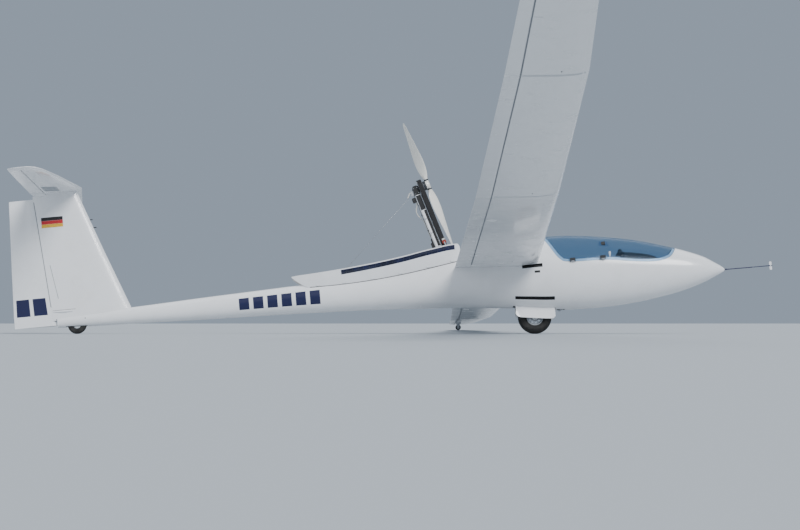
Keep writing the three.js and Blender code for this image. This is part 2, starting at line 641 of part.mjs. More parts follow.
// Wheels, turned about a cross axis: tyre, rim or whole wheel
const turned = (profile, segments, centre) => {
  const points = [...profile, profile[0]].map(([radius, across]) => new THREE.Vector2(radius, across));
  const geometry = new THREE.LatheGeometry(points, segments);
  geometry.deleteAttribute('normal');
  geometry.deleteAttribute('uv');
  const merged = mergeVertices(geometry, 1e-3);
  const flat = outward(
    Array.from(merged.attributes.position.array), Array.from(merged.index.array));
  flat.translate(centre.x, centre.y, centre.z);
  return shape(solid(flat));
};
const tyreProfile = (inner, outer, width) => {
  const half = width / 2;
  const bulge = outer - half * 0.72;
  return [
    [inner, -half * 0.66], [(inner + bulge) / 2, -half], [bulge, -half * 0.93],
    [outer - half * 0.24, -half * 0.62], [outer, 0], [outer - half * 0.24, half * 0.62],
    [bulge, half * 0.93], [(inner + bulge) / 2, half], [inner, half * 0.66],
  ];
};
const rimProfile = (bore, outer, width, hubHalf, webHalf) => {
  const half = width / 2;
  const hub = bore + 22;
  return [
    [bore, -hubHalf], [hub, -hubHalf], [hub, -webHalf], [outer - 10, -webHalf],
    [outer - 10, -half], [outer, -half], [outer, half], [outer - 10, half],
    [outer - 10, webHalf], [hub, webHalf], [hub, hubHalf], [bore, hubHalf],
  ];
};
const mainCentre = at(MAIN_WHEEL.station, 0, MAIN_WHEEL.z);
const mainTyre = turned(
  tyreProfile(MAIN_WHEEL.rim + REST_GAP, MAIN_WHEEL.radius, MAIN_WHEEL.width), 28, mainCentre);
addMesh('main_tyre', mainTyre, RUBBER);
addMesh('main_rim', turned(
  rimProfile(MAIN_WHEEL.axle + 0.5, MAIN_WHEEL.rim, 84, 62, 8), 28, mainCentre), ALUMINIUM);
const LEG = { inner: 70, outer: 82, top: -197 };
const mainAxle = rod(
  at(MAIN_WHEEL.station, REST_GAP - LEG.inner, MAIN_WHEEL.z),
  at(MAIN_WHEEL.station, LEG.inner - REST_GAP, MAIN_WHEEL.z), MAIN_WHEEL.axle, 20);
addMesh('main_axle', mainAxle, STEEL);
const legOutline = [
  [MAIN_WHEEL.station - 24, MAIN_WHEEL.z - 26], [MAIN_WHEEL.station + 24, MAIN_WHEEL.z - 26],
  [MAIN_WHEEL.station + 30, MAIN_WHEEL.z + 20], [MAIN_WHEEL.station + 62, WELL.top - REST_GAP],
  [MAIN_WHEEL.station - 62, WELL.top - REST_GAP], [MAIN_WHEEL.station - 30, MAIN_WHEEL.z + 20],
];
const legBridge = box(
  { station: MAIN_WHEEL.station - 60, y: -LEG.outer, z: LEG.top },
  { station: MAIN_WHEEL.station + 60, y: LEG.outer, z: WELL.top - REST_GAP });
addMesh('gear_leg', join(
  sidePlate(legOutline, LEG.inner, LEG.outer), sidePlate(legOutline, -LEG.outer, -LEG.inner),
  legBridge), SHELL_GREY);

const tailCentre = at(TAIL_WHEEL.station, 0, TAIL_WHEEL.z);
addMesh('tail_tyre', turned(
  tyreProfile(TAIL_WHEEL.rim + REST_GAP, TAIL_WHEEL.radius, TAIL_WHEEL.width), 20, tailCentre), RUBBER);
addMesh('tail_rim', turned(
  rimProfile(TAIL_WHEEL.axle + 0.5, TAIL_WHEEL.rim, 36, 28, 6), 20, tailCentre), ALUMINIUM);
addMesh('tail_axle', rod(
  at(TAIL_WHEEL.station, REST_GAP - TAIL_WELL.half, TAIL_WHEEL.z),
  at(TAIL_WHEEL.station, TAIL_WELL.half - REST_GAP, TAIL_WHEEL.z), TAIL_WHEEL.axle, 16), STEEL);
hinges.main_wheel = [mainCentre, mainCentre.clone().add(new THREE.Vector3(0, 100, 0))];
hinges.tail_wheel = [tailCentre, tailCentre.clone().add(new THREE.Vector3(0, 100, 0))];

// Wing-tip wheels on short forks
const tipWheels = {};
for (const { side, sign } of SIDES) {
  const share = (TIP_WHEEL.station - between(WING, 'y', TIP_WHEEL.y, 'lead'))
    / (between(WING, 'y', TIP_WHEEL.y, 'trail') - between(WING, 'y', TIP_WHEEL.y, 'lead'));
  const underside = surfacePoint(WING, TIP_WHEEL.y, share, -1, CAMBER).z;
  const axleZ = underside - TIP_WHEEL.drop + TIP_WHEEL.radius;
  const y = sign * TIP_WHEEL.y;
  const centre = at(TIP_WHEEL.station, y, axleZ);
  const half = TIP_WHEEL.width / 2;
  const wheel = turned([
    [TIP_WHEEL.axle + 0.5, -half], [TIP_WHEEL.radius - 9, -half], [TIP_WHEEL.radius, -half * 0.4],
    [TIP_WHEEL.radius, half * 0.4], [TIP_WHEEL.radius - 9, half], [TIP_WHEEL.axle + 0.5, half],
  ], 20, centre);
  tipWheels[side] = addMesh(`tip_wheel_${side}`, wheel, RUBBER);
  const cheek = half + 6;
  const cheekOutline = [
    [TIP_WHEEL.station - 10, axleZ - 12], [TIP_WHEEL.station + 10, axleZ - 12],
    [TIP_WHEEL.station + 26, underside + 6], [TIP_WHEEL.station - 34, underside + 6],
  ];
  const bridge = box(
    { station: TIP_WHEEL.station - 34, y: y - cheek - 5, z: axleZ + TIP_WHEEL.radius + 6 },
    { station: TIP_WHEEL.station + 26, y: y + cheek + 5, z: underside + 6 });
  const fork = join(
    sidePlate(cheekOutline, y + cheek, y + cheek + 5),
    sidePlate(cheekOutline, y - cheek - 5, y - cheek),
    bridge,
    rod(at(TIP_WHEEL.station, y - cheek - 2, axleZ), at(TIP_WHEEL.station, y + cheek + 2, axleZ),
      TIP_WHEEL.axle, 12));
  const wingClearance = fixedLoft(WING, 12700, TIP_END, sign, wholeChord, CAMBER, REST_GAP);
  addMesh(`tip_fork_${side}`, cut(fork, wingClearance), SHELL_GREY);
  hinges[`tip_wheel_${side}`] = [centre, centre.clone().add(new THREE.Vector3(0, 100, 0))];
}

// Engine pylon, drawn upright round its pivot: X forward, Z up along the mast
const pylon = new THREE.Group();
pylon.position.copy(at(PIVOT_STATION, 0, PIVOT_Z));
pylon.rotation.y = THREE.MathUtils.degToRad(-PYLON_LEAN);
glider.add(pylon);
const SHAFT_RADIUS = 14;
const MAST = { rear: -145, front: -80, half: 45, foot: 262, top: 1034 };
const CRANKCASE = { rear: -200, front: -80, half: 72, foot: -65, top: 204 };
const CYLINDER = { forward: -142, up: 62, radius: 48, reach: 128 };
const PLATE = { inner: 76, outer: 86 };
const BELT = { rear: -70, front: -20, upper: 78, lower: 42, lowerUp: 164, thick: 7, gap: 1.4, seat: 0.67 };
const SPINDLE = 15;
const pylonBox = (rear, front, half, low, high) => {
  const geometry = new THREE.BoxGeometry(front - rear, 2 * half, high - low);
  geometry.translate((rear + front) / 2, 0, (low + high) / 2);
  return geometry;
};
const inPylon = (forward, y, up) => new THREE.Vector3(forward, y, up);
const pylonPlate = (outline, fromY, toY) =>
  sidePlate(outline.map(([forward, up]) => [-forward, up]), fromY, toY);
addMesh('pylon_shaft', rod(
  inPylon(0, REST_GAP - BOSS.inner, 0), inPylon(0, BOSS.inner - REST_GAP, 0),
  SHAFT_RADIUS, 20), STEEL, pylon);
const armOutline = [
  [28, -28], [28, 28], [-15, 110], [-15, MAST.foot], [CRANKCASE.front + REST_GAP, MAST.foot],
  [CRANKCASE.front + REST_GAP, -28],
];
const shaftClearance = rod(
  inPylon(0, -BOSS.inner, 0), inPylon(0, BOSS.inner, 0), SHAFT_RADIUS + REST_GAP, 20);
const crossBlock = pylonBox(
  MAST.rear, CRANKCASE.front + 1, PLATE.inner + 1, CRANKCASE.top + REST_GAP, MAST.foot);
const pylonFrame = cut(
  join(pylonPlate(armOutline, PLATE.inner, PLATE.outer),
    pylonPlate(armOutline, -PLATE.outer, -PLATE.inner), crossBlock),
  shaftClearance);
addMesh('pylon_frame', pylonFrame, GELCOAT, pylon);
const cylinders = rod(
  inPylon(CYLINDER.forward, -CYLINDER.reach, CYLINDER.up),
  inPylon(CYLINDER.forward, CYLINDER.reach, CYLINDER.up), CYLINDER.radius, 24);
const crankcase = pylonBox(
  CRANKCASE.rear, CRANKCASE.front, CRANKCASE.half, CRANKCASE.foot, CRANKCASE.top);
addMesh('engine_block', join(crankcase, cylinders), ENGINE_METAL, pylon);
const mastBody = pylonBox(MAST.rear, MAST.front, MAST.half, MAST.foot + REST_GAP, MAST.top);
const spindle = rod(
  inPylon(MAST.front - 10, 0, HUB_UP), inPylon(BELT.front - 5, 0, HUB_UP), SPINDLE, 20);
addMesh('mast', join(mastBody, spindle), GELCOAT, pylon);
const lowerPulley = join(
  rod(inPylon(BELT.rear + 2, 0, BELT.lowerUp), inPylon(BELT.front - 2, 0, BELT.lowerUp),
    BELT.lower, 20),
  rod(inPylon(CRANKCASE.front + REST_GAP, 0, BELT.lowerUp), inPylon(BELT.rear + 6, 0, BELT.lowerUp),
    SPINDLE, 12));
addMesh('lower_pulley', lowerPulley, ALUMINIUM, pylon);

// The belt is a loop round the two pulleys: clear of the upper one, seated on the lower one
const BELT_STEPS = 12;
const beltLoop = (extra, lowerExtra) => {
  const centres = HUB_UP - BELT.lowerUp;
  const slope = Math.asin((BELT.upper - BELT.lower) / centres);
  const outline = [];
  for (let i = 0; i <= BELT_STEPS; i += 1) {
    const angle = -slope + ((Math.PI + 2 * slope) * i) / BELT_STEPS;
    outline.push([(BELT.upper + extra) * Math.cos(angle), HUB_UP + (BELT.upper + extra) * Math.sin(angle)]);
  }
  for (let i = 0; i <= BELT_STEPS; i += 1) {
    const angle = Math.PI + slope + ((Math.PI - 2 * slope) * i) / BELT_STEPS;
    outline.push([
      (BELT.lower + lowerExtra) * Math.cos(angle),
      BELT.lowerUp + (BELT.lower + lowerExtra) * Math.sin(angle)]);
  }
  return outline;
};
const beltSolid = (thick, rear, front) => {
  const outline = beltLoop(BELT.gap + thick, BELT.seat + thick);
  return loft([rear, front].map((forward) => outline.map(([y, up]) => inPylon(forward, y, up))));
};
addMesh('drive_belt', cut(
  beltSolid(BELT.thick, BELT.rear, BELT.front),
  beltSolid(0, BELT.rear - 5, BELT.front + 5)), RUBBER, pylon);

// The propeller turns on the spindle with the upper pulley and the hub
const forwardTurned = (profile, segments) => {
  const geometry = turned(profile, segments, new THREE.Vector3());
  geometry.rotateZ(-Math.PI / 2);
  geometry.translate(0, 0, HUB_UP);
  return geometry;
};
addMesh('upper_pulley', forwardTurned([
  [SPINDLE + 0.5, BELT.rear - 2], [BELT.upper, BELT.rear - 2], [BELT.upper, BELT.front + 2],
  [SPINDLE + 0.5, BELT.front + 2],
], 24), ALUMINIUM, pylon);
const HUB = { rear: BELT.front + 2 + REST_GAP, front: 14, radius: 52, boss: 46, nose: 58 };
addMesh('propeller_hub', rod(
  inPylon(HUB.rear, 0, HUB_UP), inPylon(HUB.front, 0, HUB_UP), HUB.radius, 20), DARK_STEEL, pylon);
const BLADE = [
  { reach: 20, chord: 42, thick: 42, pitch: 56 },
  { reach: 62, chord: 44, thick: 40, pitch: 56 },
  { reach: 110, chord: 84, thick: 32, pitch: 52 },
  { reach: 190, chord: 130, thick: 24, pitch: 44 },
  { reach: 300, chord: 156, thick: 18, pitch: 36 },
  { reach: 450, chord: 142, thick: 13, pitch: 28 },
  { reach: 600, chord: 108, thick: 9, pitch: 22 },
  { reach: 700, chord: 74, thick: 6, pitch: 19 },
  { reach: 740, chord: 30, thick: 4, pitch: 18 },
];
const BLADE_SIDES = 10;
const blade = (sign) => loft(BLADE.map((row) => {
  const pitch = THREE.MathUtils.degToRad(row.pitch);
  const ring = [];
  for (let i = 0; i < BLADE_SIDES; i += 1) {
    const angle = (2 * Math.PI * i) / BLADE_SIDES;
    const along = (row.chord / 2) * Math.cos(angle);
    const across = (row.thick / 2) * Math.sin(angle);
    ring.push(inPylon(
      HUB_FORWARD + along * Math.sin(pitch) + across * Math.cos(pitch),
      sign * (-along * Math.cos(pitch) + across * Math.sin(pitch)),
      HUB_UP + sign * row.reach));
  }
  return ring;
}));
const boss = rod(
  inPylon(HUB.front + REST_GAP, 0, HUB_UP), inPylon(HUB.nose, 0, HUB_UP), HUB.boss, 20);
addMesh('propeller', join(blade(1), blade(-1), boss), GELCOAT, pylon);

// Engine-bay doors standing open, each with a strip of solar cells along its upper edge
const DOOR_THICK = 10;
const DOOR_LEAN = 30;
const DOOR_HEIGHT = 180;
const DOOR = [
  { station: 2890, low: 330, high: 440 },
  { station: 2918, low: 266, high: 458 },
  { station: 3200, low: 222, high: 426 },
  { station: 3557, low: 172, high: 366 },
  { station: 3900, low: 140, high: 322 },
  { station: 4285, low: 122, high: 286 },
  { station: 4560, low: 120, high: 268 },
  { station: 4752, low: 244, high: 256 },
];
const hingeY = (station) =>
  between(BAY_EDGE, 'station', Math.max(2918, Math.min(station, 4560)), 'y');
const doorPoint = (station, z, out) => {
  const low = between(DOOR, 'station', station, 'low');
  const share = (z - low) / DOOR_HEIGHT;
  return at(station, hingeY(station) + 2 + share * DOOR_LEAN + out, z);
};
const mirroredPoint = (point, sign) => new THREE.Vector3(point.x, sign * point.y, point.z);
const deckClearance = fuselageLoft(2700, SHELL_END, -REST_GAP);
const SOLAR_STRIP = { front: 2945, rear: 4205, below: 12, height: 50, thick: 2 };
for (const { side, sign } of SIDES) {
  const rings = DOOR.map((row) => [
    doorPoint(row.station, row.low, 0), doorPoint(row.station, row.high, 0),
    doorPoint(row.station, row.high, DOOR_THICK), doorPoint(row.station, row.low, DOOR_THICK),
  ].map((point) => mirroredPoint(point, sign)));
  addMesh(`bay_door_${side}`, cut(loft(rings), deckClearance), GELCOAT);
  const stations = [SOLAR_STRIP.front,
    ...DOOR.map((row) => row.station).filter((s) => s > SOLAR_STRIP.front && s < SOLAR_STRIP.rear),
    SOLAR_STRIP.rear];
  const stripRings = stations.map((station) => {
    const high = between(DOOR, 'station', station, 'high') - SOLAR_STRIP.below;
    const out = DOOR_THICK + REST_GAP;
    return [
      doorPoint(station, high - SOLAR_STRIP.height, out), doorPoint(station, high, out),
      doorPoint(station, high, out + SOLAR_STRIP.thick),
      doorPoint(station, high - SOLAR_STRIP.height, out + SOLAR_STRIP.thick),
    ].map((point) => mirroredPoint(point, sign));
  });
  addMesh(`solar_strip_${side}`, loft(stripRings), SOLAR);
}

// Main wheel doors, hanging open on both sides of the well
const GEAR_DOOR = { front: 1908, rear: 2334, top: 4, drop: 118, thick: 5, lean: 16 };
for (const { side, sign } of SIDES) {
  const stations = [GEAR_DOOR.front, 2010, 2120, 2230, GEAR_DOOR.rear];
  const rings = stations.map((station, i) => {
    const bottom = between(FUSELAGE, 'station', station, 'bottom');
    const half = between(FUSELAGE, 'station', station, 'half');
    const wide = between(FUSELAGE, 'station', station, 'wide');
    const inner = WELL.half - GEAR_DOOR.thick - REST_GAP;
    const skin = wide - (wide - bottom) * Math.sqrt(1 - (inner / half) ** 2);
    const end = i === 0 || i === stations.length - 1;
    const foot = skin - (end ? GEAR_DOOR.drop * 0.86 : GEAR_DOOR.drop);
    return [
      at(station, sign * inner, skin + GEAR_DOOR.top),
      at(station, sign * (inner + GEAR_DOOR.thick), skin + GEAR_DOOR.top),
      at(station, sign * (inner + GEAR_DOOR.thick), skin - GEAR_DOOR.top),
      at(station, sign * (inner + GEAR_DOOR.thick + GEAR_DOOR.lean), foot),
      at(station, sign * (inner + GEAR_DOOR.lean), foot),
      at(station, sign * inner, skin - GEAR_DOOR.top),
    ];
  });
  addMesh(`gear_door_${side}`, loft(rings), GELCOAT);
}

// Air-data probe on the nose, with its small cross vane
const PROBE = { reach: 530, z: -51, radius: 6, vane: 45, vaneChord: 26, vaneHalf: 3, nose: 8 };
const probeRod = rod(
  at(-REST_GAP, 0, PROBE.z), at(-PROBE.reach, 0, PROBE.z), PROBE.radius, 12);
const vaneFront = -PROBE.reach + PROBE.nose;
const probeVane = box(
  { station: vaneFront, y: -PROBE.vaneHalf, z: PROBE.z - PROBE.vane },
  { station: vaneFront + PROBE.vaneChord, y: PROBE.vaneHalf, z: PROBE.z + PROBE.vane });
addMesh('nose_probe', join(probeRod, probeVane), NAVY);

// Cockpit: seat pan, cushions, headrest, instrument panel with its cover, stick
const cabin = fuselageLoft(COCKPIT_START + 2, COCKPIT_END - 2, SKIN + REST_GAP);
const belowSill = cut(cabin, aboveSill(-2));
const seatOutline = [
  [1104, -214], [1240, -252], [1470, -262], [1570, -226], [1700, -70], [1846, 118],
  [1858, 110], [1712, -80], [1580, -238], [1474, -276], [1238, -266], [1100, -228],
];
addMesh('seat_pan', overlap(sidePlate(seatOutline, -WIDE, WIDE), belowSill), SHELL_GREY);
// The cushion lies on the pan, so the pan's outline, raised by the gap, is cut from it.
const cushionOutline = [
  [1236, -258], [1250, -215], [1470, -222], [1545, -190], [1668, -46], [1792, 108], [1838, 103],
  [1706, -75], [1574, -232], [1470, -268]];
const cushionBlank = cut(
  sidePlate(cushionOutline, -150, 150),
  sidePlate(seatOutline.map(([station, z]) => [station - REST_GAP, z + REST_GAP]), -WIDE, WIDE));
addMesh('seat_cushion', overlap(cushionBlank, belowSill), FABRIC);
const HEADREST = { front: 1808, rear: 1856, half: 75, low: 175, high: 305 };
addMesh('headrest', join(
  box({ station: HEADREST.front, y: -HEADREST.half, z: HEADREST.low },
    { station: HEADREST.rear, y: HEADREST.half, z: HEADREST.high }),
  rod(at(HEADREST.rear - 4, 0, 186), at(1861.7, 0, 186), 14, 12)), FABRIC);
const panelOutline = [
  [690, 60], [760, 150], [900, 196], [1130, 232], [1165, 230], [1158, 214], [1120, 200], [1100, -60],
  [1000, -60], [760, 40]];
const pedestalOutline = [[960, -340], [960, 40], [1090, 40], [1070, -110], [1050, -340]];
const PANEL_HALF = 175;
const PEDESTAL_HALF = 60;
addMesh('instrument_panel', overlap(
  join(sidePlate(panelOutline, -PANEL_HALF, PANEL_HALF),
    sidePlate(pedestalOutline, -PEDESTAL_HALF, PEDESTAL_HALF)),
  cut(cabin, seatBulkhead)), PANEL_GREY);
addMesh('control_stick', join(
  rod(at(1160, 0, -228), at(1190, 0, -20), 10, 12),
  rod(at(1190, 0, -22), at(1204, 0, 92), 16, 14)), PANEL_GREY);

// Parked attitude: the lowest points of the three wheels that touch the ground lie in one plane.
// The turn is found again from the wheels' new lowest points until it settles.
hinges.canopy = [
  at(600, CANOPY_HINGE_Y, CANOPY_HINGE_Z), at(1700, CANOPY_HINGE_Y, CANOPY_HINGE_Z)];
hinges.pylon = [at(PIVOT_STATION, -100, PIVOT_Z), at(PIVOT_STATION, 100, PIVOT_Z)];
const axleFromPylon = (forward) => inPylon(forward, 0, HUB_UP)
  .applyEuler(pylon.rotation).add(pylon.position);
hinges.propeller = [axleFromPylon(0), axleFromPylon(100)];
const SUPPORTS = ['main_tyre', 'tail_tyre', 'tip_wheel_left'];
const SETTLING_TURNS = 8;
const UP = new THREE.Vector3(0, 0, 1);
const lowestPoint = (name, turn) => {
  const positions = glider.getObjectByName(name).geometry.attributes.position;
  const point = new THREE.Vector3();
  let lowest = null;
  let height = Infinity;
  for (let i = 0; i < positions.count; i += 1) {
    point.fromBufferAttribute(positions, i);
    const z = point.clone().applyQuaternion(turn).z;
    if (z < height) {
      height = z;
      lowest = point.clone();
    }
  }
  return lowest;
};
let attitude = new THREE.Quaternion();
for (let i = 0; i < SETTLING_TURNS; i += 1) {
  const [main, tail, tip] = SUPPORTS.map((name) => lowestPoint(name, attitude));
  const normal = tail.clone().sub(main).cross(tip.clone().sub(main)).normalize();
  if (normal.z < 0) normal.negate();
  attitude = new THREE.Quaternion().setFromUnitVectors(normal, UP);
}
glider.quaternion.copy(attitude);
glider.updateMatrixWorld(true);
const extent = new THREE.Box3().setFromObject(glider, true);
const middle = extent.getCenter(new THREE.Vector3());
glider.position.set(-middle.x, -middle.y, -extent.min.z);
glider.updateMatrixWorld(true);
glider.userData.hinges = Object.fromEntries(Object.entries(hinges).map(
  ([name, points]) => [name, points.map((point) => glider.localToWorld(point.clone()).toArray())]));

export default glider;
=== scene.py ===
import json
import math

import bmesh
import bpy
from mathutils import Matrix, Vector


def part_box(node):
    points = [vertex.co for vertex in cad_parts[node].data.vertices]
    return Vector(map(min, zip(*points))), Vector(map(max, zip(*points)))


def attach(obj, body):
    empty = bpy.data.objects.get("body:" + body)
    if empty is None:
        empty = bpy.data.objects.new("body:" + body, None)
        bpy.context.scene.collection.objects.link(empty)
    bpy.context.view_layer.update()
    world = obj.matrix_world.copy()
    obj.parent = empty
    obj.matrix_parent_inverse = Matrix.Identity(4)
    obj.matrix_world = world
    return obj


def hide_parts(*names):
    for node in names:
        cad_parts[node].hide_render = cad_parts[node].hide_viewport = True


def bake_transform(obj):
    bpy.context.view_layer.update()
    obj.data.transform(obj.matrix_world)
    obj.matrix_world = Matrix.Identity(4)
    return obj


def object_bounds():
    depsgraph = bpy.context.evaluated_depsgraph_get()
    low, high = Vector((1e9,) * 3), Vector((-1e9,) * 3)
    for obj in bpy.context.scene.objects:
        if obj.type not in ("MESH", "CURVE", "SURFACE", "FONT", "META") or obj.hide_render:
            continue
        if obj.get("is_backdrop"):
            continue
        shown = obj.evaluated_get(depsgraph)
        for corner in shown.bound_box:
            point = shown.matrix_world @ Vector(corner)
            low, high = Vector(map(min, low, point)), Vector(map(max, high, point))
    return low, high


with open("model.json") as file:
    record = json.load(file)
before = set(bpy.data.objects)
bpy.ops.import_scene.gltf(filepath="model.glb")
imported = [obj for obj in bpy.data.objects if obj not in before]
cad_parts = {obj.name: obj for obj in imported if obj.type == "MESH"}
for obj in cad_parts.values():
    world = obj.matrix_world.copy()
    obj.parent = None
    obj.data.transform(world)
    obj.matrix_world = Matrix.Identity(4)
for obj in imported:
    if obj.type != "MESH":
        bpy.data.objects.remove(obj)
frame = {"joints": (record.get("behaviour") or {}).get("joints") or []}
cad_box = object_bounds()

# The aircraft stands tilted on its wheels. Stations run aft from the nose tip along its own
# length, and its own three directions are read from the wheel axle and the canopy hinge.
joints = {row["name"]: row for row in frame["joints"]}
PORT = Vector(joints["main_wheel_spin"]["axis"]).normalized()
AHEAD = Vector(joints["canopy_hinge"]["axis"]).normalized()
UP = AHEAD.cross(PORT).normalized()
PIVOT_STATION = 2916
PIVOT_HEIGHT = 200
PIVOT = Vector(joints["pylon_fold"]["pos_m"])


def place(station, y, z):
    """A point of the level aircraft, given in millimetres, in the parked aircraft's frame."""
    ahead = (PIVOT_STATION - station) / 1000
    return PIVOT + AHEAD * ahead + PORT * (y / 1000) + UP * ((z - PIVOT_HEIGHT) / 1000)


def level(point):
    """Station, distance to port and height in millimetres of a point of the parked aircraft."""
    offset = (point - PIVOT) * 1000
    return (PIVOT_STATION - offset.dot(AHEAD), offset.dot(PORT), offset.dot(UP) + PIVOT_HEIGHT)


# Camera near the floor, abeam the starboard side and a little aft of the middle, with a long
# lens that takes in the fuselage from nose to rudder.
EYE_DISTANCE = 25.0
EYE_HEIGHT = 0.12
VIEW_WIDTH = 8.81
SENSOR = 36.0
camera_data = bpy.data.cameras.new("camera")
camera = bpy.data.objects.new("camera", camera_data)
bpy.context.collection.objects.link(camera)
bpy.context.scene.camera = camera
aim = place(3555, 0, 300)
eye = place(3650, 0, 0)
camera.location = Vector((eye.x, eye.y - EYE_DISTANCE, EYE_HEIGHT))
camera.rotation_mode = "QUATERNION"
camera.rotation_quaternion = (aim - camera.location).to_track_quat("-Z", "Y")
camera_data.sensor_width = SENSOR
camera_data.lens = SENSOR * (aim - camera.location).length / VIEW_WIDTH
camera_data.clip_end = 1500.0


# Studio: a wide pale matt floor before a plain grey-blue background, and three suns with wide
# soft edges, so that both wing tips are lit alike.
def srgb(code):
    """Linear colour of an sRGB hex value."""
    parts = [int(code[i:i + 2], 16) / 255 for i in (1, 3, 5)]
    return (*[c / 12.92 if c <= 0.04045 else ((c + 0.055) / 1.055) ** 2.4 for c in parts], 1.0)


def new_material(name, **settings):
    """A material with only a Principled shader, whose inputs are set, and that shader."""
    material = bpy.data.materials.new(name)
    material.use_nodes = True
    shader = material.node_tree.nodes["Principled BSDF"]
    for key, value in settings.items():
        shader.inputs[key].default_value = value
    return material, shader


def link(material, source, node, target):
    material.node_tree.links.new(source, node.inputs[target])


def add_node(material, kind, links=(), **settings):
    """Adds a node with its settings. Each link is (source socket, input of this node)."""
    node = material.node_tree.nodes.new(kind)
    for key, value in settings.items():
        if key in node.inputs:
            node.inputs[key].default_value = value
        else:
            setattr(node, key, value)
    for source, target in links:
        link(material, source, node, target)
    return node


floor_paint = new_material(
    "matt_studio_paint", Roughness=0.9, **{"Base Color": srgb("#B4BABF")})[0]
FLOOR_HALF = 420.0
corners = [(x * FLOOR_HALF, y * FLOOR_HALF, 0) for x, y in ((-1, -1), (1, -1), (1, 1), (-1, 1))]
floor_mesh = bpy.data.meshes.new("studio_floor")
floor_mesh.from_pydata(corners, [], [(0, 1, 2, 3)])
floor_mesh.materials.append(floor_paint)
studio_floor = bpy.data.objects.new("studio_floor", floor_mesh)
bpy.context.collection.objects.link(studio_floor)
studio_floor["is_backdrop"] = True

SUNS = [
    {"name": "key", "from": (9.0, -20.0, 17.0), "spread": 25, "power": 2.6},
    {"name": "fill", "from": (-16.0, -16.0, 9.0), "spread": 50, "power": 0.5},
    {"name": "top", "from": (0.0, 6.0, 17.0), "spread": 70, "power": 1.2},
]
for row in SUNS:
    sun_data = bpy.data.lights.new(row["name"], "SUN")
    sun_data.angle = math.radians(row["spread"])
    sun_data.energy = row["power"]
    sun = bpy.data.objects.new(row["name"], sun_data)
    sun.location = row["from"]
    sun.rotation_mode = "QUATERNION"
    sun.rotation_quaternion = (-sun.location).to_track_quat("-Z", "Y")
    bpy.context.collection.objects.link(sun)
world = bpy.data.worlds.new("studio")
bpy.context.scene.world = world
world.use_nodes = True
world.node_tree.nodes["Background"].inputs["Color"].default_value = srgb("#B9C9DC")
world.node_tree.nodes["Background"].inputs["Strength"].default_value = 0.6


# Fuselage: one glass and carbon fibre shell laid up in two halves and joined along its length.
# It is given here by its outline at a few stations, in millimetres, as (station, top, bottom,
# height of the widest line, half width), and runs smoothly between.
FUSELAGE = [dict(zip(("station", "top", "bottom", "wide", "half"), row)) for row in (
    (0, -44, -58, -51, 7), (14, -27, -73, -50, 23), (55, 4, -94, -46, 48),
    (198, 98, -156, -32, 125), (374, 175, -215, -22, 175), (545, 236, -258, -12, 207),
    (720, 290, -290, 0, 237), (896, 341, -317, 10, 258), (1071, 380, -336, 18, 275),
    (1248, 412, -348, 24, 288), (1423, 438, -354, 30, 297), (1599, 458, -352, 36, 302),
    (1774, 473, -348, 42, 303), (1960, 476, -338, 48, 301), (2186, 452, -310, 52, 295),
    (2426, 420, -277, 54, 284), (2692, 392, -249, 52, 267), (2930, 366, -228, 48, 249),
    (3227, 322, -210, 40, 226), (3557, 268, -188, 30, 203), (3900, 222, -171, 20, 185),
    (4285, 188, -156, 14, 169), (4900, 159, -138, 9, 148), (5760, 121, -119, 1, 120),
    (6500, 84, -98, -7, 92), (7000, 66, -87, -10, 77), (7200, 57, -82, -12, 68),
    (7350, 46, -75, -15, 54))]


def smooth_between(table, key, value, column):
    """One column of a table read against another along a curve that doesn't overshoot."""
    last = len(table) - 1
    i = 0
    while i < last - 1 and table[i + 1][key] < value:
        i += 1

    def steepness(k):
        """Climb of the straight line from one row of the table to the next."""
        return (table[k + 1][column] - table[k][column]) / (table[k + 1][key] - table[k][key])

    def slope(k):
        if k <= 0 or k >= last:
            return steepness(0 if k <= 0 else last - 1)
        before, after = steepness(k - 1), steepness(k)
        return 2 * before * after / (before + after) if before * after > 0 else 0.0

    low, high = table[i], table[i + 1]
    run = high[key] - low[key]
    share = (value - low[key]) / run
    if share < 0 or share > 1:
        return low[column] + share * (high[column] - low[column])
    square, cube = share * share, share ** 3
    return (
        (2 * cube - 3 * square + 1) * low[column] + (cube - 2 * square + share) * run * slope(i)
        + (3 * square - 2 * cube) * high[column] + (cube - square) * run * slope(i + 1))


def hull(station, column):
    return smooth_between(FUSELAGE, "station", station, column)


def skin_point(station, angle, inset=0.0):
    """A point of the fuselage skin: angle 0 is port, 90 degrees is the top."""
    wide = hull(station, "wide")
    rise = hull(station, "top") - inset - wide
    if math.sin(angle) <= 0:
        rise = wide - hull(station, "bottom") - inset
    across = (hull(station, "half") - inset) * math.cos(angle)
    return place(station, across, wide + rise * math.sin(angle))


def turns(count):
    """Angles evenly round a circle."""
    return [2 * math.pi * i / count for i in range(count)]


def evenly(low, high, count):
    return [low + (high - low) * i / (count - 1) for i in range(count)]


def mesh_piece(name, points, faces, material=None):
    """A mesh object from points and faces, with its faces turned outward."""
    mesh = bpy.data.meshes.new(name)
    mesh.from_pydata(points, [], faces)
    work = bmesh.new()
    work.from_mesh(mesh)
    bmesh.ops.recalc_face_normals(work, faces=work.faces)
    work.to_mesh(mesh)
    work.free()
    if material:
        mesh.materials.append(material)
    piece = bpy.data.objects.new(name, mesh)
    bpy.context.collection.objects.link(piece)
    return piece


def loft_piece(rings, material=None, closed=False, name="part"):
    """A body through rings of equal point counts, capped at both ends or closed on itself."""
    count, last = len(rings[0]), len(rings) - 1
    faces = []
    for row in range(last + closed):
        here, there = row * count, (row + 1) % len(rings) * count
        for i in range(count):
            j = (i + 1) % count
            faces.append((here + i, here + j, there + j, there + i))
    if not closed:
        faces += [tuple(reversed(range(count))), tuple(range(last * count, (last + 1) * count))]
    return mesh_piece(name, [point for ring in rings for point in ring], faces, material)


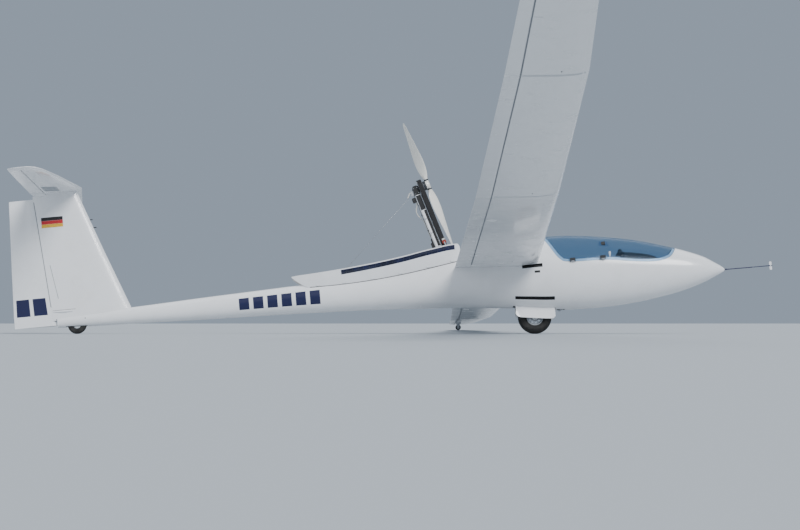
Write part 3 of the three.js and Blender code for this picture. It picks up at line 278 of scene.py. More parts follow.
def fuselage_piece(start, end, inset=0.0, material=None, step=36, sides=72):
    """The fuselage between two stations as a closed body, set in by a distance."""
    stations = [start] + [row["station"] for row in FUSELAGE[:4] if start < row["station"] < end]
    first = stations.pop()
    stations += evenly(first, end, max(2, round((end - first) / step)) + 1)
    return loft_piece([[skin_point(s, turn, inset) for turn in turns(sides)] for s in stations],
                      material)


def carve(piece, cutter, operation="DIFFERENCE"):
    """Cuts one body with another, or keeps their overlap, and removes the cutter."""
    tool = piece.modifiers.new("carve", "BOOLEAN")
    tool.object = cutter
    tool.operation = operation
    tool.solver = "EXACT"
    tool.material_mode = "TRANSFER"
    bpy.context.view_layer.update()
    evaluated = piece.evaluated_get(bpy.context.evaluated_depsgraph_get())
    result = bpy.data.meshes.new_from_object(evaluated)
    piece.modifiers.clear()
    spent = piece.data
    piece.data = result
    bpy.data.meshes.remove(spent)
    bpy.data.objects.remove(cutter)


def plate_piece(outline, reach, material=None, spot=place):
    """An outline in side view pulled across the aircraft between two distances."""
    count = len(outline)
    faces = [tuple(range(count)), tuple(range(count, 2 * count))]
    faces += [(i, (i + 1) % count, count + (i + 1) % count, count + i) for i in range(count)]
    return mesh_piece("part", [spot(a, y, b) for y in reach for a, b in outline], faces, material)


def box_piece(low, high, material=None, spot=place):
    """A box between two corners, each (station, y, z)."""
    outline = [(low[0], low[2]), (high[0], low[2]), (high[0], high[2]), (low[0], high[2])]
    return plate_piece(outline, (low[1], high[1]), material, spot)


def joined(name, pieces):
    """Several pieces put into one mesh object without cutting them against each other."""
    mesh = bpy.data.meshes.new(name)
    together = bmesh.new()
    materials = []
    for piece in pieces:
        slots = []
        for material in piece.data.materials:
            if material not in materials:
                materials.append(material)
            slots.append(materials.index(material))
        before = len(together.faces)
        together.from_mesh(piece.data)
        together.faces.ensure_lookup_table()
        for face in together.faces[before:]:
            face.material_index = slots[face.material_index] if slots else 0
        spent = piece.data
        bpy.data.objects.remove(piece)
        bpy.data.meshes.remove(spent)
    together.to_mesh(mesh)
    together.free()
    for material in materials:
        mesh.materials.append(material)
    whole = bpy.data.objects.new(name, mesh)
    bpy.context.collection.objects.link(whole)
    return whole


def dressed(name, parts, limit=32):
    """Parts joined under a name and shaded smooth, with sharp edges above a limit in degrees."""
    piece = joined(name, parts)
    piece.data.shade_smooth()
    piece.data.set_sharp_from_angle(angle=math.radians(limit))
    return piece


def stands_for(node, parts, body, limit=32):
    """Parts that are joined, shaded and shown instead of a CAD node, and move with a body."""
    piece = dressed(node, parts, limit)
    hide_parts(node)
    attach(piece, body)
    return piece


# Gelcoat: the white polyester skin sprayed in the moulds and polished. The long waves bend
# reflections a little as a hand-sanded surface does, the fine grain is the polish, and the
# patchy roughness is dust and wiped fingermarks. Scales are cycles per metre.
def noise(material, scale, detail, stretch=(1.0, 1.0, 1.0)):
    """Noise in the part's own space, drawn out along its directions by a stretch."""
    where = add_node(material, "ShaderNodeTexCoord").outputs["Object"]
    drawn = add_node(material, "ShaderNodeMapping", [(where, "Vector")], Scale=stretch)
    return add_node(
        material, "ShaderNodeTexNoise", [(drawn.outputs["Vector"], "Vector")], Scale=scale,
        Detail=detail).outputs["Fac"]


def ranged(material, source, *ends):
    """A value mapped from a low and high onto another low and high."""
    names = ("From Min", "From Max", "To Min", "To Max")
    return add_node(
        material, "ShaderNodeMapRange", [(source, "Value")], **dict(zip(names, ends))
    ).outputs["Result"]


def tinted(material, factor, base, colour):
    """A base colour, in hex or as a socket, mixed with another colour by a factor."""
    mix = add_node(material, "ShaderNodeMix", [(factor, "Factor")], data_type="RGBA")
    mix.inputs[7].default_value = srgb(colour)
    if isinstance(base, str):
        mix.inputs[6].default_value = srgb(base)
    else:
        link(material, base, mix, 6)
    return mix.outputs[2]


def relief(material, shader, height, distance, strength=1.0, under=None):
    """Bumps on a shader from a height, over others that it may already have."""
    links = [(height, "Height")] + ([(under, "Normal")] if under else [])
    bump = add_node(material, "ShaderNodeBump", links, Distance=distance, Strength=strength)
    link(material, bump.outputs["Normal"], shader, "Normal")
    return bump.outputs["Normal"]


def gelcoat_material(name, colour, shade, dust=0.1):
    material, shader = new_material(name, **{"Coat Weight": 0.35, "Coat Roughness": 0.05})
    grime = noise(material, 5.5, 9.0)
    dusty = tinted(material, ranged(material, grime, 0.44, 0.74, 0.0, dust), colour, shade)
    link(material, dusty, shader, "Base Color")
    link(material, ranged(material, grime, 0.35, 0.75, 0.14, 0.32), shader, "Roughness")
    waves = relief(material, shader, noise(material, 3.2, 1.0), 0.0005, 0.5)
    relief(material, shader, noise(material, 420.0, 2.0), 0.00002, 0.5, waves)
    return material


gelcoat = gelcoat_material("polished_white_gelcoat", "#F1F2F4", "#B9B8B0")


# Cockpit lining: glass cloth painted speckled grey, rough to the touch, seen through the canopy
# and on the inside of every opening.
def toned(material, shader, value, dark, light, low, high):
    """Base colour that runs from dark to light as a value goes from low to high."""
    ramp = add_node(material, "ShaderNodeValToRGB", [(value, "Fac")])
    for mark, position, colour in zip(ramp.color_ramp.elements, (low, high), (dark, light)):
        mark.position = position
        mark.color = srgb(colour)
    link(material, ramp.outputs["Color"], shader, "Base Color")


def mottled(name, light, dark, roughness, scale, bump=0.0002, detail=6.0, low=0.35, high=0.68,
            grain=650.0, fine=2.0, **finish):
    """A painted or moulded material with a soft mottle in two tones and a fine grain."""
    material, shader = new_material(name, Roughness=roughness, **finish)
    toned(material, shader, noise(material, scale, detail), dark, light, low, high)
    if bump:
        relief(material, shader, noise(material, grain, fine), bump)
    return material


lining = mottled(
    "speckled_grey_paint_on_glass_cloth", "#A4A5A6", "#6E7073", 0.75, 900.0, 0.0004, 1.0, 0.42,
    0.6, 900.0, 1.0)
# Matt black paint on the covers of the pylon's mast; inside vents, hooks and wells, and along
# the foot of the bay doors, the same black is painted shade.
recess_shade_and_cover_black = mottled(
    "matt_black_paint_and_painted_recess_shade", "#2B2C2E", "#101113", 0.7, 60.0, 0, low=0.0, high=1.0)


# Front fuselage: the shell with the cockpit, the wheel well and the engine bay cut out of it.
SHELL_END = 4900
SKIN = 12
SILL = [
    (518, 240), (560, 168), (618, 114), (743, 80), (921, 85), (1098, 107), (1311, 135),
    (1713, 146), (1820, 190), (1910, 330), (1996, 500)]
BAY_EDGE = [dict(zip(("station", "y"), row)) for row in (
    (2918, 172), (3227, 166), (3557, 152), (3900, 138), (4285, 120), (4560, 104))]
BAY_TIP = 4780


def through_points(points, steps=8):
    """More points on a smooth curve through the given ones."""
    dense = []
    for i in range(len(points) - 1):
        a, b = points[i], points[i + 1]
        before = points[i - 1] if i else a
        after = points[i + 2] if i + 2 < len(points) else b
        for step in range(steps):
            t = step / steps
            dense.append(tuple(
                0.5 * (2 * a[k] + (b[k] - before[k]) * t
                       + (2 * before[k] - 5 * a[k] + 4 * b[k] - after[k]) * t ** 2
                       + (3 * a[k] - before[k] - 3 * b[k] + after[k]) * t ** 3)
                for k in range(len(a))))
    return dense + [tuple(points[-1])]


def steepness_along(line):
    """Share of run and of climb at each point of a side-view line."""
    for before, after in zip(line[:1] + line[:-1], line[1:] + line[-1:]):
        run, climb = after[0] - before[0], after[1] - before[1]
        length = math.hypot(run, climb)
        yield run / length, climb / length


def offset_line(line, distance):
    """A side-view line moved square to itself: up for positive distances."""
    return [(station - climb * distance, z + run * distance)
            for (station, z), (run, climb) in zip(line, steepness_along(line))]


def above_sill(offset, material=None):
    """A block that fills everything above the sill line, moved up and inward by an offset."""
    line = offset_line(through_points(SILL, 7), offset)
    outline = line + [(line[-1][0] + 30, 900), (line[0][0] - 30, 900)]
    return plate_piece(outline, (-500, 500), material)


fuselage_shell = fuselage_piece(0, SHELL_END, 0, gelcoat)
cockpit_hollow = fuselage_piece(330, 2000, SKIN, lining)
bulkhead_side = [
    (1862, -900), (1862, 190), (1948, 338), (2010, 470), (2010, 900), (2100, 900), (2100, -900)]
carve(cockpit_hollow, plate_piece(bulkhead_side, (-500, 500), lining))
carve(fuselage_shell, cockpit_hollow)
carve(fuselage_shell, above_sill(0, gelcoat))
carve(fuselage_shell, box_piece((1900, -96, -900), (2362, 96, -176), lining))
carve(fuselage_shell, fuselage_piece(2780, 4800, SKIN, lining))
bay_plan = [(row["station"], row["y"]) for row in BAY_EDGE] + [(BAY_TIP, 0)]
bay_plan += [(row["station"], -row["y"]) for row in reversed(BAY_EDGE)]
carve(fuselage_shell, plate_piece(
    bay_plan, (60, 900), gelcoat, lambda station, z, y: place(station, y, z)))


# Recesses in the skin: the cooling slots beside the wheel well, the intakes under the wing
# roots, vents in the sides, and the pocket of the tow hook ahead of the wheel well. Each is
# lined with matt black, which is painted shade inside it.
def patch_piece(places, columns, point_at, material, rise, depth=0.2):
    """A slab on a surface, by a function of the place along it, the column and the height."""
    rows, wide = len(places), len(columns)
    points = [point_at(at, x, out) for out in (rise, -depth) for at in places for x in columns]
    layer = rows * wide
    faces = []
    for a in [i * wide + k for i in range(rows - 1) for k in range(wide - 1)]:
        corner = (a, a + 1, a + wide + 1, a + wide)
        faces += [corner, tuple(layer + c for c in corner)]
    rim = list(range(wide)) + [i * wide + wide - 1 for i in range(1, rows)]
    rim += [(rows - 1) * wide + k for k in range(wide - 2, -1, -1)]
    rim += [i * wide for i in range(rows - 2, 0, -1)]
    faces += [(here, there, layer + there, layer + here)
              for here, there in zip(rim, rim[1:] + rim[:1])]
    return mesh_piece("part", points, faces, material)


def on_fuselage(station, angle, out):
    """A point off the fuselage skin, by an angle in degrees up from port."""
    return skin_point(station, math.radians(angle), -out)


RECESSES = [
    {"stations": (1796, 1884), "angles": [(-98, -82)], "depth": 9},
    {"stations": (1905, 2335), "angles": [(-49, -41.5), (221.5, 229)], "depth": 20},
    {"stations": (2012, 2235), "angles": [(9, 14.5), (165.5, 171)], "depth": 26},
    {"stations": (2045, 2105), "angles": [(0.5, 4), (176, 179.5)], "depth": 6},
]
# The matt black of each recess is painted shade.
for row in RECESSES:
    front, rear = row["stations"]
    for low, high in row["angles"]:
        carve(fuselage_shell, patch_piece(
            evenly(front, rear, round((rear - front) / 40) + 1), evenly(low, high, 5),
            on_fuselage, recess_shade_and_cover_black, 8, row["depth"]))
stands_for("fuselage_shell", [fuselage_shell], "airframe")


# Canopy: one blown acrylic dome bonded to a white frame and hinged along its starboard edge.
# The acrylic lets light straight through and mirrors more at a flat angle, with a haze of
# fine scratches. The mirroring layer and the haze are dark blue, a painted reflection of sky,
# and the light let through is tinted pale blue, painted sky too. The frame shows through it as
# a white band above the sill.
# The dark blue base colour of the mirroring layer is a painted reflection of sky.
acrylic, sky_reflection_shader = new_material("blown_acrylic_with_painted_sky", Roughness=0.04, **{
    "Base Color": srgb("#5E7E9C"), "Coat Weight": 1.0})
haze = ranged(acrylic, noise(acrylic, 14.0, 10.0, (1.0, 9.0, 9.0)), 0.5, 0.85, 0.04, 0.09)
facing = add_node(acrylic, "ShaderNodeLayerWeight", Blend=0.5).outputs["Facing"]
flat = add_node(acrylic, "ShaderNodeMath", [(facing, 0)], operation="POWER")
flat.inputs[1].default_value = 4.0
mirrored = add_node(
    acrylic, "ShaderNodeMath", [(flat.outputs["Value"], 0), (haze, 1)], operation="ADD",
    use_clamp=True)
# The clear layer's pale blue tint is painted sky.
clear = add_node(acrylic, "ShaderNodeBsdfTransparent", Color=srgb("#DFECF6"))
acrylic_mix = add_node(acrylic, "ShaderNodeMixShader", [
    (mirrored.outputs["Value"], 0), (clear.outputs["BSDF"], 1),
    (sky_reflection_shader.outputs["BSDF"], 2)])
link(acrylic, acrylic_mix.outputs["Shader"], acrylic.node_tree.nodes["Material Output"],
     "Surface")

GLASS = 6
CANOPY_GAP = 3
FRAME_WIDTH = 26
canopy_glass = fuselage_piece(400, 2150, 0, acrylic, 20, 96)
carve(canopy_glass, fuselage_piece(390, 2160, GLASS, acrylic, 20, 96))
carve(canopy_glass, above_sill(CANOPY_GAP, acrylic), "INTERSECT")
stands_for("canopy_glass", [canopy_glass], "canopy", 50)

canopy_frame = fuselage_piece(400, 2150, GLASS + 0.3, gelcoat, 20)
carve(canopy_frame, fuselage_piece(390, 2160, 24, lining, 20))
carve(canopy_frame, above_sill(CANOPY_GAP, gelcoat), "INTERSECT")
carve(canopy_frame, above_sill(CANOPY_GAP + FRAME_WIDTH, lining))
stands_for("canopy_frame", [canopy_frame], "canopy")


# Wings: foam and glass fibre skins over a carbon spar, in three taped panels a side, with one
# control surface behind each. Flexible lips on the fixed part close the gap to the surface.
PROFILE = [0.5 - 0.5 * math.cos(math.pi * i / 24) for i in range(25)]
CAMBER = 0.02
SURFACE_CHORD = 0.17
MOVING_GAP = 6
LIP_THICK = 0.8
LIP_PLAY = 0.7
EDGE_HALF = 0.8
INNER_TOP = 200 + (4560 - 300) * math.tan(math.radians(1.5))
MID_TOP = INNER_TOP + (9000 - 4560) * math.tan(math.radians(2.5))
OUTER_RISE = math.tan(math.radians(4))
WING = [dict(zip(("y", "lead", "trail", "z", "thick"), row)) for row in (
    (200, 2043, 2962, 197.4, 0.147), (4560, 2102, 2862, INNER_TOP, 0.143),
    (9000, 2175, 2785, MID_TOP, 0.14), (12000, 2290, 2730, MID_TOP + 3000 * OUTER_RISE, 0.135),
    (12900, 2393, 2695, MID_TOP + 3900 * OUTER_RISE, 0.13),
    (13080, 2428, 2684, MID_TOP + 4084 * OUTER_RISE, 0.12),
    (13150, 2456, 2676, MID_TOP + 4160 * OUTER_RISE, 0.1),
    (13185, 2484, 2668, MID_TOP + 4196 * OUTER_RISE, 0.07),
    (13200, 2512, 2658, MID_TOP + 4212 * OUTER_RISE, 0.025))]


def straight_between(table, key, value, column):
    """One column of a table read against another along straight lines."""
    i = 0
    while i < len(table) - 2 and table[i + 1][key] < value:
        i += 1
    low, high = table[i], table[i + 1]
    share = (value - low[key]) / (high[key] - low[key])
    return low[column] + share * (high[column] - low[column])


def half_thickness(x, thick):
    """Half thickness of the section at a share of the chord, as a share of the chord."""
    return 5 * thick * (
        0.2969 * math.sqrt(max(x, 0)) - 0.126 * x - 0.3516 * x ** 2 + 0.2843 * x ** 3
        - 0.1005 * x ** 4)


class Section:
    """A wing, tail or fin section at one distance along its span, all in millimetres."""

    def __init__(self, table, key, at, camber=0, hinge=None):
        self.lead, trail, self.thick = (
            straight_between(table, key, at, column) for column in ("lead", "trail", "thick"))
        self.chord = trail - self.lead
        self.base = straight_between(table, key, at, "z") if key == "y" else 0
        self.camber = camber
        self.hinge = self.share(hinge) if hinge else 1 - SURFACE_CHORD
        self.radius = half_thickness(self.hinge, self.thick) * self.chord

    def share(self, station):
        """Share of the chord at a station."""
        return (station - self.lead) / self.chord

    def point(self, x, side, grow=0.0):
        """Station and height on the upper (1), lower (-1) or middle (0) line at a chord share."""
        middle = self.base + 4 * self.camber * x * (1 - x) * self.chord
        half = half_thickness(x, self.thick) * self.chord + grow
        return (self.lead + x * self.chord, middle + side * half)

    def around(self, shares):
        """The outline over the top to the nose and back below, at some shares of the chord."""
        upper = [self.point(x, 1) for x in reversed(shares)]
        return upper + [self.point(x, -1) for x in shares[1:]]

    def whole(self):
        """The closed outline of the whole section."""
        return self.around(PROFILE)

    def lip(self, back=0.0):
        """Chord share of the lip's edge over the control surface, or of a line ahead of it."""
        reach = math.sqrt(2 * self.radius * (LIP_THICK + LIP_PLAY))
        return self.hinge - (min(reach, self.radius) + back) / self.chord

    def fixed(self):
        """The outline ahead of the hinge, with a thin lip above and below the round nose."""
        rear = self.hinge - (self.radius + MOVING_GAP) / self.chord
        lip = self.lip()
        upper = [self.point(rear, 1, -LIP_THICK), self.point(lip, 1, -LIP_THICK)]
        lower = [self.point(lip, -1, -LIP_THICK), self.point(rear, -1, -LIP_THICK)]
        body = self.around([x * rear for x in PROFILE])
        return upper + [self.point(lip, 1)] + body + [self.point(lip, -1)] + lower

    def moving(self):
        """The outline of the control surface: a round nose on the hinge and flat sides."""
        hinge, edge = self.point(self.hinge, 0), self.point(1, 0)

        def flank(side):
            return [
                (edge[0] + (hinge[0] - edge[0]) * share,
                 edge[1] + side * EDGE_HALF
                 + (hinge[1] - edge[1] + side * (self.radius - EDGE_HALF)) * share)
                for share in [i / 6 for i in range(6)]]
        nose = [
            (hinge[0] - self.radius * math.sin(turn), hinge[1] + self.radius * math.cos(turn))
            for turn in evenly(0, math.pi, 17)]
        return flank(1) + nose + flank(-1)[::-1]


def span_steps(table, key, start, end, step=400):
    """Distances along the span: the table's own between two ends, and evenly spaced ones."""
    marks = [start] + [row[key] for row in table if start + 1 < row[key] < end - 1] + [end]
    dense = []
    for low, high in zip(marks, marks[1:]):
        dense += evenly(low, high, max(1, round((high - low) / step)) + 1)[:-1]
    return dense + [end]


def wing_section(y):
    return Section(WING, "y", y, CAMBER)


def wing_spot(sign):
    """Function that sets a wing section's point on the port (1) or starboard (-1) wing."""
    return lambda y, station, z: place(station, sign * y, z)


def span_loft(outline_of, section_at, spot, spans, material=gelcoat):
    """A closed body along a span, through the outline of the section at each distance."""
    return loft_piece(
        [[spot(at, *pair) for pair in outline_of(section_at(at))] for at in spans], material)


def wing_loft(outline_of, start, end, sign, material=gelcoat):
    spans = span_steps(WING, "y", start, end)
    return span_loft(outline_of, wing_section, wing_spot(sign), spans, material)


PANELS = [
    {"name": "inner", "from": 318, "to": 4559, "surface": "flap", "first": 331, "last": 4555},
    {"name": "mid", "from": 4561, "to": 8999, "surface": "aileron_mid", "first": 4565,
     "last": 8995},
    {"name": "outer", "from": 9001, "to": 12892, "surface": "aileron_outer", "first": 9005,
     "last": 12884},
]
SIDES = [("left", 1), ("right", -1)]
for side, sign in SIDES:
    for row in PANELS:
        panel = wing_loft(Section.fixed, row["from"], row["to"], sign)
        if row["name"] == "inner":
            carve(panel, wing_loft(Section.whole, 200, 325, sign), "UNION")
            carve(panel, fuselage_piece(1500, 3600, -0.5, gelcoat))
        if row["name"] == "outer":
            carve(panel, wing_loft(Section.whole, 12889, 13200, sign), "UNION")
        stands_for(f"wing_{row['name']}_{side}", [panel], "airframe")
        surface = f"{row['surface']}_{side}"
        stands_for(surface, [wing_loft(Section.moving, row["first"], row["last"], sign)],
                   surface)


# Tail: a T tail with a slim tailplane on top of a swept fin, elevator and rudder hinged behind,
# all of glass fibre. The fin is moulded in one with the boom.
TAILPLANE = [dict(zip(("y", "lead", "trail", "z", "thick"), row)) for row in (
    (0, 6989, 7574, 1450, 0.12), (900, 7108, 7560, 1450, 0.12), (1400, 7196, 7551, 1450, 0.115),
    (1540, 7244, 7547, 1450, 0.11), (1595, 7284, 7542, 1450, 0.095),
    (1625, 7326, 7533, 1450, 0.07), (1640, 7366, 7522, 1450, 0.03))]
FIN = [dict(zip(("z", "lead", "hinge", "trail", "thick"), row)) for row in (
    (-60, 6478, 7404, 7824, 0.098), (70, 6531, 7417, 7828, 0.099),
    (720, 6786, 7480, 7817, 0.105), (1450, 7060, 7551, 7800, 0.113))]
ELEVATOR_HINGE = 7420
ELEVATOR_HALF = 1540


def tail_section(y):
    return Section(TAILPLANE, "y", abs(y), 0, ELEVATOR_HINGE)


def tail_spot(y, station, z):
    return place(station, y, z)


def tail_loft(outline_of, reach):
    """A closed body of the tailplane, as far to port as to starboard."""
    steps = span_steps(TAILPLANE, "y", 0, reach, 200)
    spans = [-y for y in reversed(steps)] + steps[1:]
    return span_loft(outline_of, tail_section, tail_spot, spans)


def fin_section(z):
    return Section(FIN, "z", z, 0, straight_between(FIN, "z", z, "hinge"))


def fin_spot(z, station, across):
    return place(station, across, z)


def fin_loft(outline_of, start, end):
    spans = span_steps(FIN, "z", start, end, 120)
    return span_loft(outline_of, fin_section, fin_spot, spans)


tailplane = tail_loft(Section.fixed, ELEVATOR_HALF + 10)
for end in (-1, 1):
    tip = [end * y for y in span_steps(TAILPLANE, "y", ELEVATOR_HALF + 6, 1640, 60)]
    carve(tailplane, span_loft(Section.whole, tail_section, tail_spot, tip), "UNION")
stands_for("tailplane", [tailplane], "airframe")
stands_for("elevator", [tail_loft(Section.moving, ELEVATOR_HALF)], "elevator")

tail_boom = fuselage_piece(SHELL_END + 0.3, 7350, 0, gelcoat, 50)
# The tail wheel's well is lined with matt black: painted shade inside it.
carve(tail_boom, box_piece((7024, -36, -900), (7258, 36, 56), recess_shade_and_cover_black))
stands_for("tail_boom", [tail_boom], "airframe")
fin = fin_loft(Section.fixed, 0, 1450)
carve(fin, fuselage_piece(6000, 7360, -0.3, gelcoat))
carve(fin, tail_loft(Section.fixed, 900))
carve(fin, box_piece((7380, -500, 1392), (7900, 500, 1900), gelcoat))
stands_for("fin", [fin], "airframe")
stands_for("rudder", [fin_loft(Section.moving, -52, 1362)], "rudder")


# Wheels: tyres with a plain ribbed tread on bolted aluminium rims. The main wheel hangs on a
# forked leg under the seat, the tail wheel sits in the boom, and each wing tip has a small one.
# The rubber is matt and dusty in patches, with a fine grain that keeps it from shining.
rubber = mottled(
    "black_tyre_rubber", "#3B3A38", "#1B1B1C", 0.82, 26.0, 0.0003, 8.0, 0.4, 0.85, 700.0)


def metal_material(name, light, dark, roughness, streak=(1.0, 1.0, 1.0)):
    """A bare metal with machining streaks and patches of dulled surface."""
    material, shader = new_material(name, Metallic=1.0)
    lines = noise(material, 420.0, 3.0, streak)
    toned(material, shader, lines, dark, light, 0.35, 0.65)
    dulled = ranged(material, lines, 0.3, 0.7, roughness, roughness + 0.2)
    link(material, dulled, shader, "Roughness")
    relief(material, shader, lines, 0.0001)
    return material


# Aluminium shows the streaks of the lathe, ground steel is brighter, blackened steel is dull
aluminium = metal_material("machined_aluminium", "#CFD1D4", "#B9BCC0", 0.26, (1.0, 0.2, 1.0))
steel = metal_material("ground_steel", "#BFC2C6", "#A2A5AA", 0.22)
dark_steel = metal_material("blackened_steel", "#55585D", "#3C3F43", 0.35)


def square_to(toward):
    """Two directions that are square to one and to each other."""
    across = toward.cross(UP if abs(toward.dot(UP)) < 0.9 else AHEAD).normalized()
    return across, toward.cross(across)


def turned_piece(profile, centre, axis, sides=64, material=None):
    """A body turned about an axis, from (radius, distance along the axis) in millimetres."""
    toward = axis.normalized()
    across, third = square_to(toward)
    rings = [
        [centre + (out * r + toward * along) / 1000 for r, along in profile]
        for out in [across * math.cos(turn) + third * math.sin(turn) for turn in turns(sides)]]
    piece = loft_piece(rings, material, closed=True)
    work = bmesh.new()
    work.from_mesh(piece.data)
    bmesh.ops.remove_doubles(work, verts=work.verts, dist=1e-6)
    bmesh.ops.dissolve_degenerate(work, edges=work.edges, dist=1e-7)
    bmesh.ops.recalc_face_normals(work, faces=work.faces)
    work.to_mesh(piece.data)
    work.free()
    return piece


def rod(start, end, radius, material=steel, sides=24):
    """A round rod between two points of the parked aircraft."""
    length = (end - start).length * 1000
    profile = [(0, 0), (radius, 0), (radius, length), (0, length)]
    return turned_piece(profile, start, end - start, sides, material)


def bolt(spot, rise, radius):
    """A hexagon head that stands off a spot."""
    return rod(spot, spot + rise, radius, steel, 6)


def bevelled(piece, width, segments=2, limit=35):
    """Rounds the sharp edges of a piece by a width in millimetres."""
    work = bmesh.new()
    work.from_mesh(piece.data)
    sharp = [
        edge for edge in work.edges
        if len(edge.link_faces) == 2 and edge.calc_face_angle() > math.radians(limit)]
    bmesh.ops.bevel(
        work, geom=sharp, offset=width / 1000, segments=segments, affect="EDGES",
        clamp_overlap=True)
    work.to_mesh(piece.data)
    work.free()
    return piece


def tyre_profile(inner, outer, width, ribs):
    """Tyre section with circumferential grooves in the tread."""
    half = width / 2
    bulge = outer - half * 0.72
    flank = [
        (inner, half * 0.66), (inner + 5, half * 0.8), ((inner + bulge) / 2, half * 0.985),
        (bulge, half * 0.96), (outer - half * 0.42, half * 0.82)]
    tread = half * 0.62
    marks = evenly(-tread, tread, ribs + 1)
    points = [(r, -y) for r, y in flank]
    for i, (low, high) in enumerate(zip(marks, marks[1:])):
        crown = [(outer - half * 0.24 * (y / tread) ** 2, y)
                 for y in (low + 1.4, (low + high) / 2, high - 1.4)]
        floor = [(crown[0][0] - 3, low + 1.4)] if i else []
        points += floor + crown
        if i < ribs - 1:
            points.append((crown[2][0] - 3, high - 1.4))
    return points + flank[::-1]


def rim_profile(bore, outer, width, hub_half, web_half):
    """Rim section: hub, thin web and the two flanges under the tyre."""
    half = width / 2
    hub = bore + 22
    flank = [
        (bore, hub_half), (hub - 2, hub_half), (hub, hub_half - 2), (hub + 3, web_half + 4),
        (hub + 8, web_half), (outer - 16, web_half), (outer - 11, web_half + 4),
        (outer - 9, half - 2), (outer - 7, half), (outer, half)]
    return [(r, -y) for r, y in flank] + flank[::-1]


def bolt_ring(centre, axis, radius, along, count, head, first=0.0):
    """A ring of bolt heads standing on a face of a wheel or hub."""
    toward = axis.normalized()
    across, third = square_to(toward)
    rise = toward * (math.copysign(head * 0.7, along) / 1000)
    spots = [
        centre + toward * (along / 1000)
        + (across * math.cos(first + turn) + third * math.sin(first + turn)) * (radius / 1000)
        for turn in turns(count)]
    return [bolt(spot, rise, head) for spot in spots]


WHEELS = [
    {"name": "main", "station": 2130, "z": -400, "radius": 185, "width": 120, "rim": 92,
     "ribs": 5, "bore": 12.5, "flange": 84, "hub": 62, "web": 8, "bolts": 9,
     "axle": 12, "axle_half": 69.7, "nut": 19},
    {"name": "tail", "station": 7141, "z": -55, "radius": 105, "width": 60, "rim": 45,
     "ribs": 3, "bore": 8.5, "flange": 36, "hub": 28, "web": 6, "bolts": 6,
     "axle": 8, "axle_half": 35.7, "nut": 12},
]
for row in WHEELS:
    centre = place(row["station"], 0, row["z"])
    body = f"{row['name']}_wheel"
    tyre = tyre_profile(row["rim"] + 0.3, row["radius"], row["width"], row["ribs"])
    stands_for(f"{row['name']}_tyre", [turned_piece(tyre, centre, PORT, 96, rubber)],
               body, 40)
    profile = rim_profile(row["bore"], row["rim"], row["flange"], row["hub"], row["web"])
    rim = turned_piece(profile, centre, PORT, 64, aluminium)
    middle = (row["bore"] + 22 + row["rim"] - 10) / 2000
    hole = (row["rim"] - row["bore"] - 32) * 0.27
    spots = [centre + (AHEAD * math.cos(turn) + UP * math.sin(turn)) * middle
             for turn in turns(row["bolts"])]
    carve(rim, joined("holes", [
        rod(spot - PORT * 0.03, spot + PORT * 0.03, hole, aluminium, 20) for spot in spots]))
    parts = [rim]
    for end in (-1, 1):
        parts += bolt_ring(
            centre, PORT, row["rim"] - 5, end * row["flange"] / 2, row["bolts"], 3.2, 0.3)
    valve = centre + (AHEAD * 0.6 + UP * 0.8) * ((row["rim"] - 14) / 1000)
    parts.append(rod(valve, valve - PORT * 0.03, 3.5, rubber, 12))
    stands_for(f"{row['name']}_rim", parts, body)

    # Axle with a flange nut at each end
    reach = PORT * (row["axle_half"] / 1000)
    parts = [rod(centre - reach, centre + reach, row["axle"], steel, 32)]
    for end in (-1, 1):
        outer = centre + reach * end
        parts.append(rod(outer - PORT * (end * 0.006), outer, row["nut"], steel, 6))
    stands_for(f"{row['name']}_axle", parts, "airframe")


# Main gear leg: two forged arms joined by a cross tube and a bridge, a rubber-block strut on each
# side and the drum brake's torque arm on the port side. The arms carry no material of their own,
# so they show in Blender's plain grey.
LEG_SIDE = [
    (2106, -426), (2118, -432), (2142, -432), (2154, -426), (2160, -380), (2176, -330),
    (2192, -176.3), (2068, -176.3), (2084, -330), (2100, -380)]
TORQUE_SIDE = [(2100, -408), (2100, -392), (2040, -330), (2032, -338)]
parts = []
for end in (-1, 1):
    arm = plate_piece(LEG_SIDE, sorted((end * 70, end * 82)))
    for z, radius in ((-340, 13), (-290, 16), (-232, 20)):
        carve(arm, rod(place(2130, end * 50, z), place(2130, end * 100, z), radius, None, 28))
    low, high = place(2168, end * 76, -330), place(2300, end * 76, -186)
    parts += [
        bevelled(arm, 1.5), rod(low, high, 5, steel, 20),
        rod(low.lerp(high, 0.35), low.lerp(high, 0.8), 9, dark_steel),
        rod(place(2130, end * 82, -400), place(2130, end * 88, -400), 22, aluminium, 32)]
    parts += [rod(eye - PORT * 0.008, eye + PORT * 0.008, 11, steel, 20) for eye in (low, high)]
parts.append(rod(place(2130, -72, -190), place(2130, 72, -190), 11, steel, 28))
parts.append(box_piece((2072, -82, -190), (2188, 82, -176.5), aluminium))
parts.append(plate_piece(TORQUE_SIDE, (63, 68), steel))
stands_for("gear_leg", parts, "airframe")


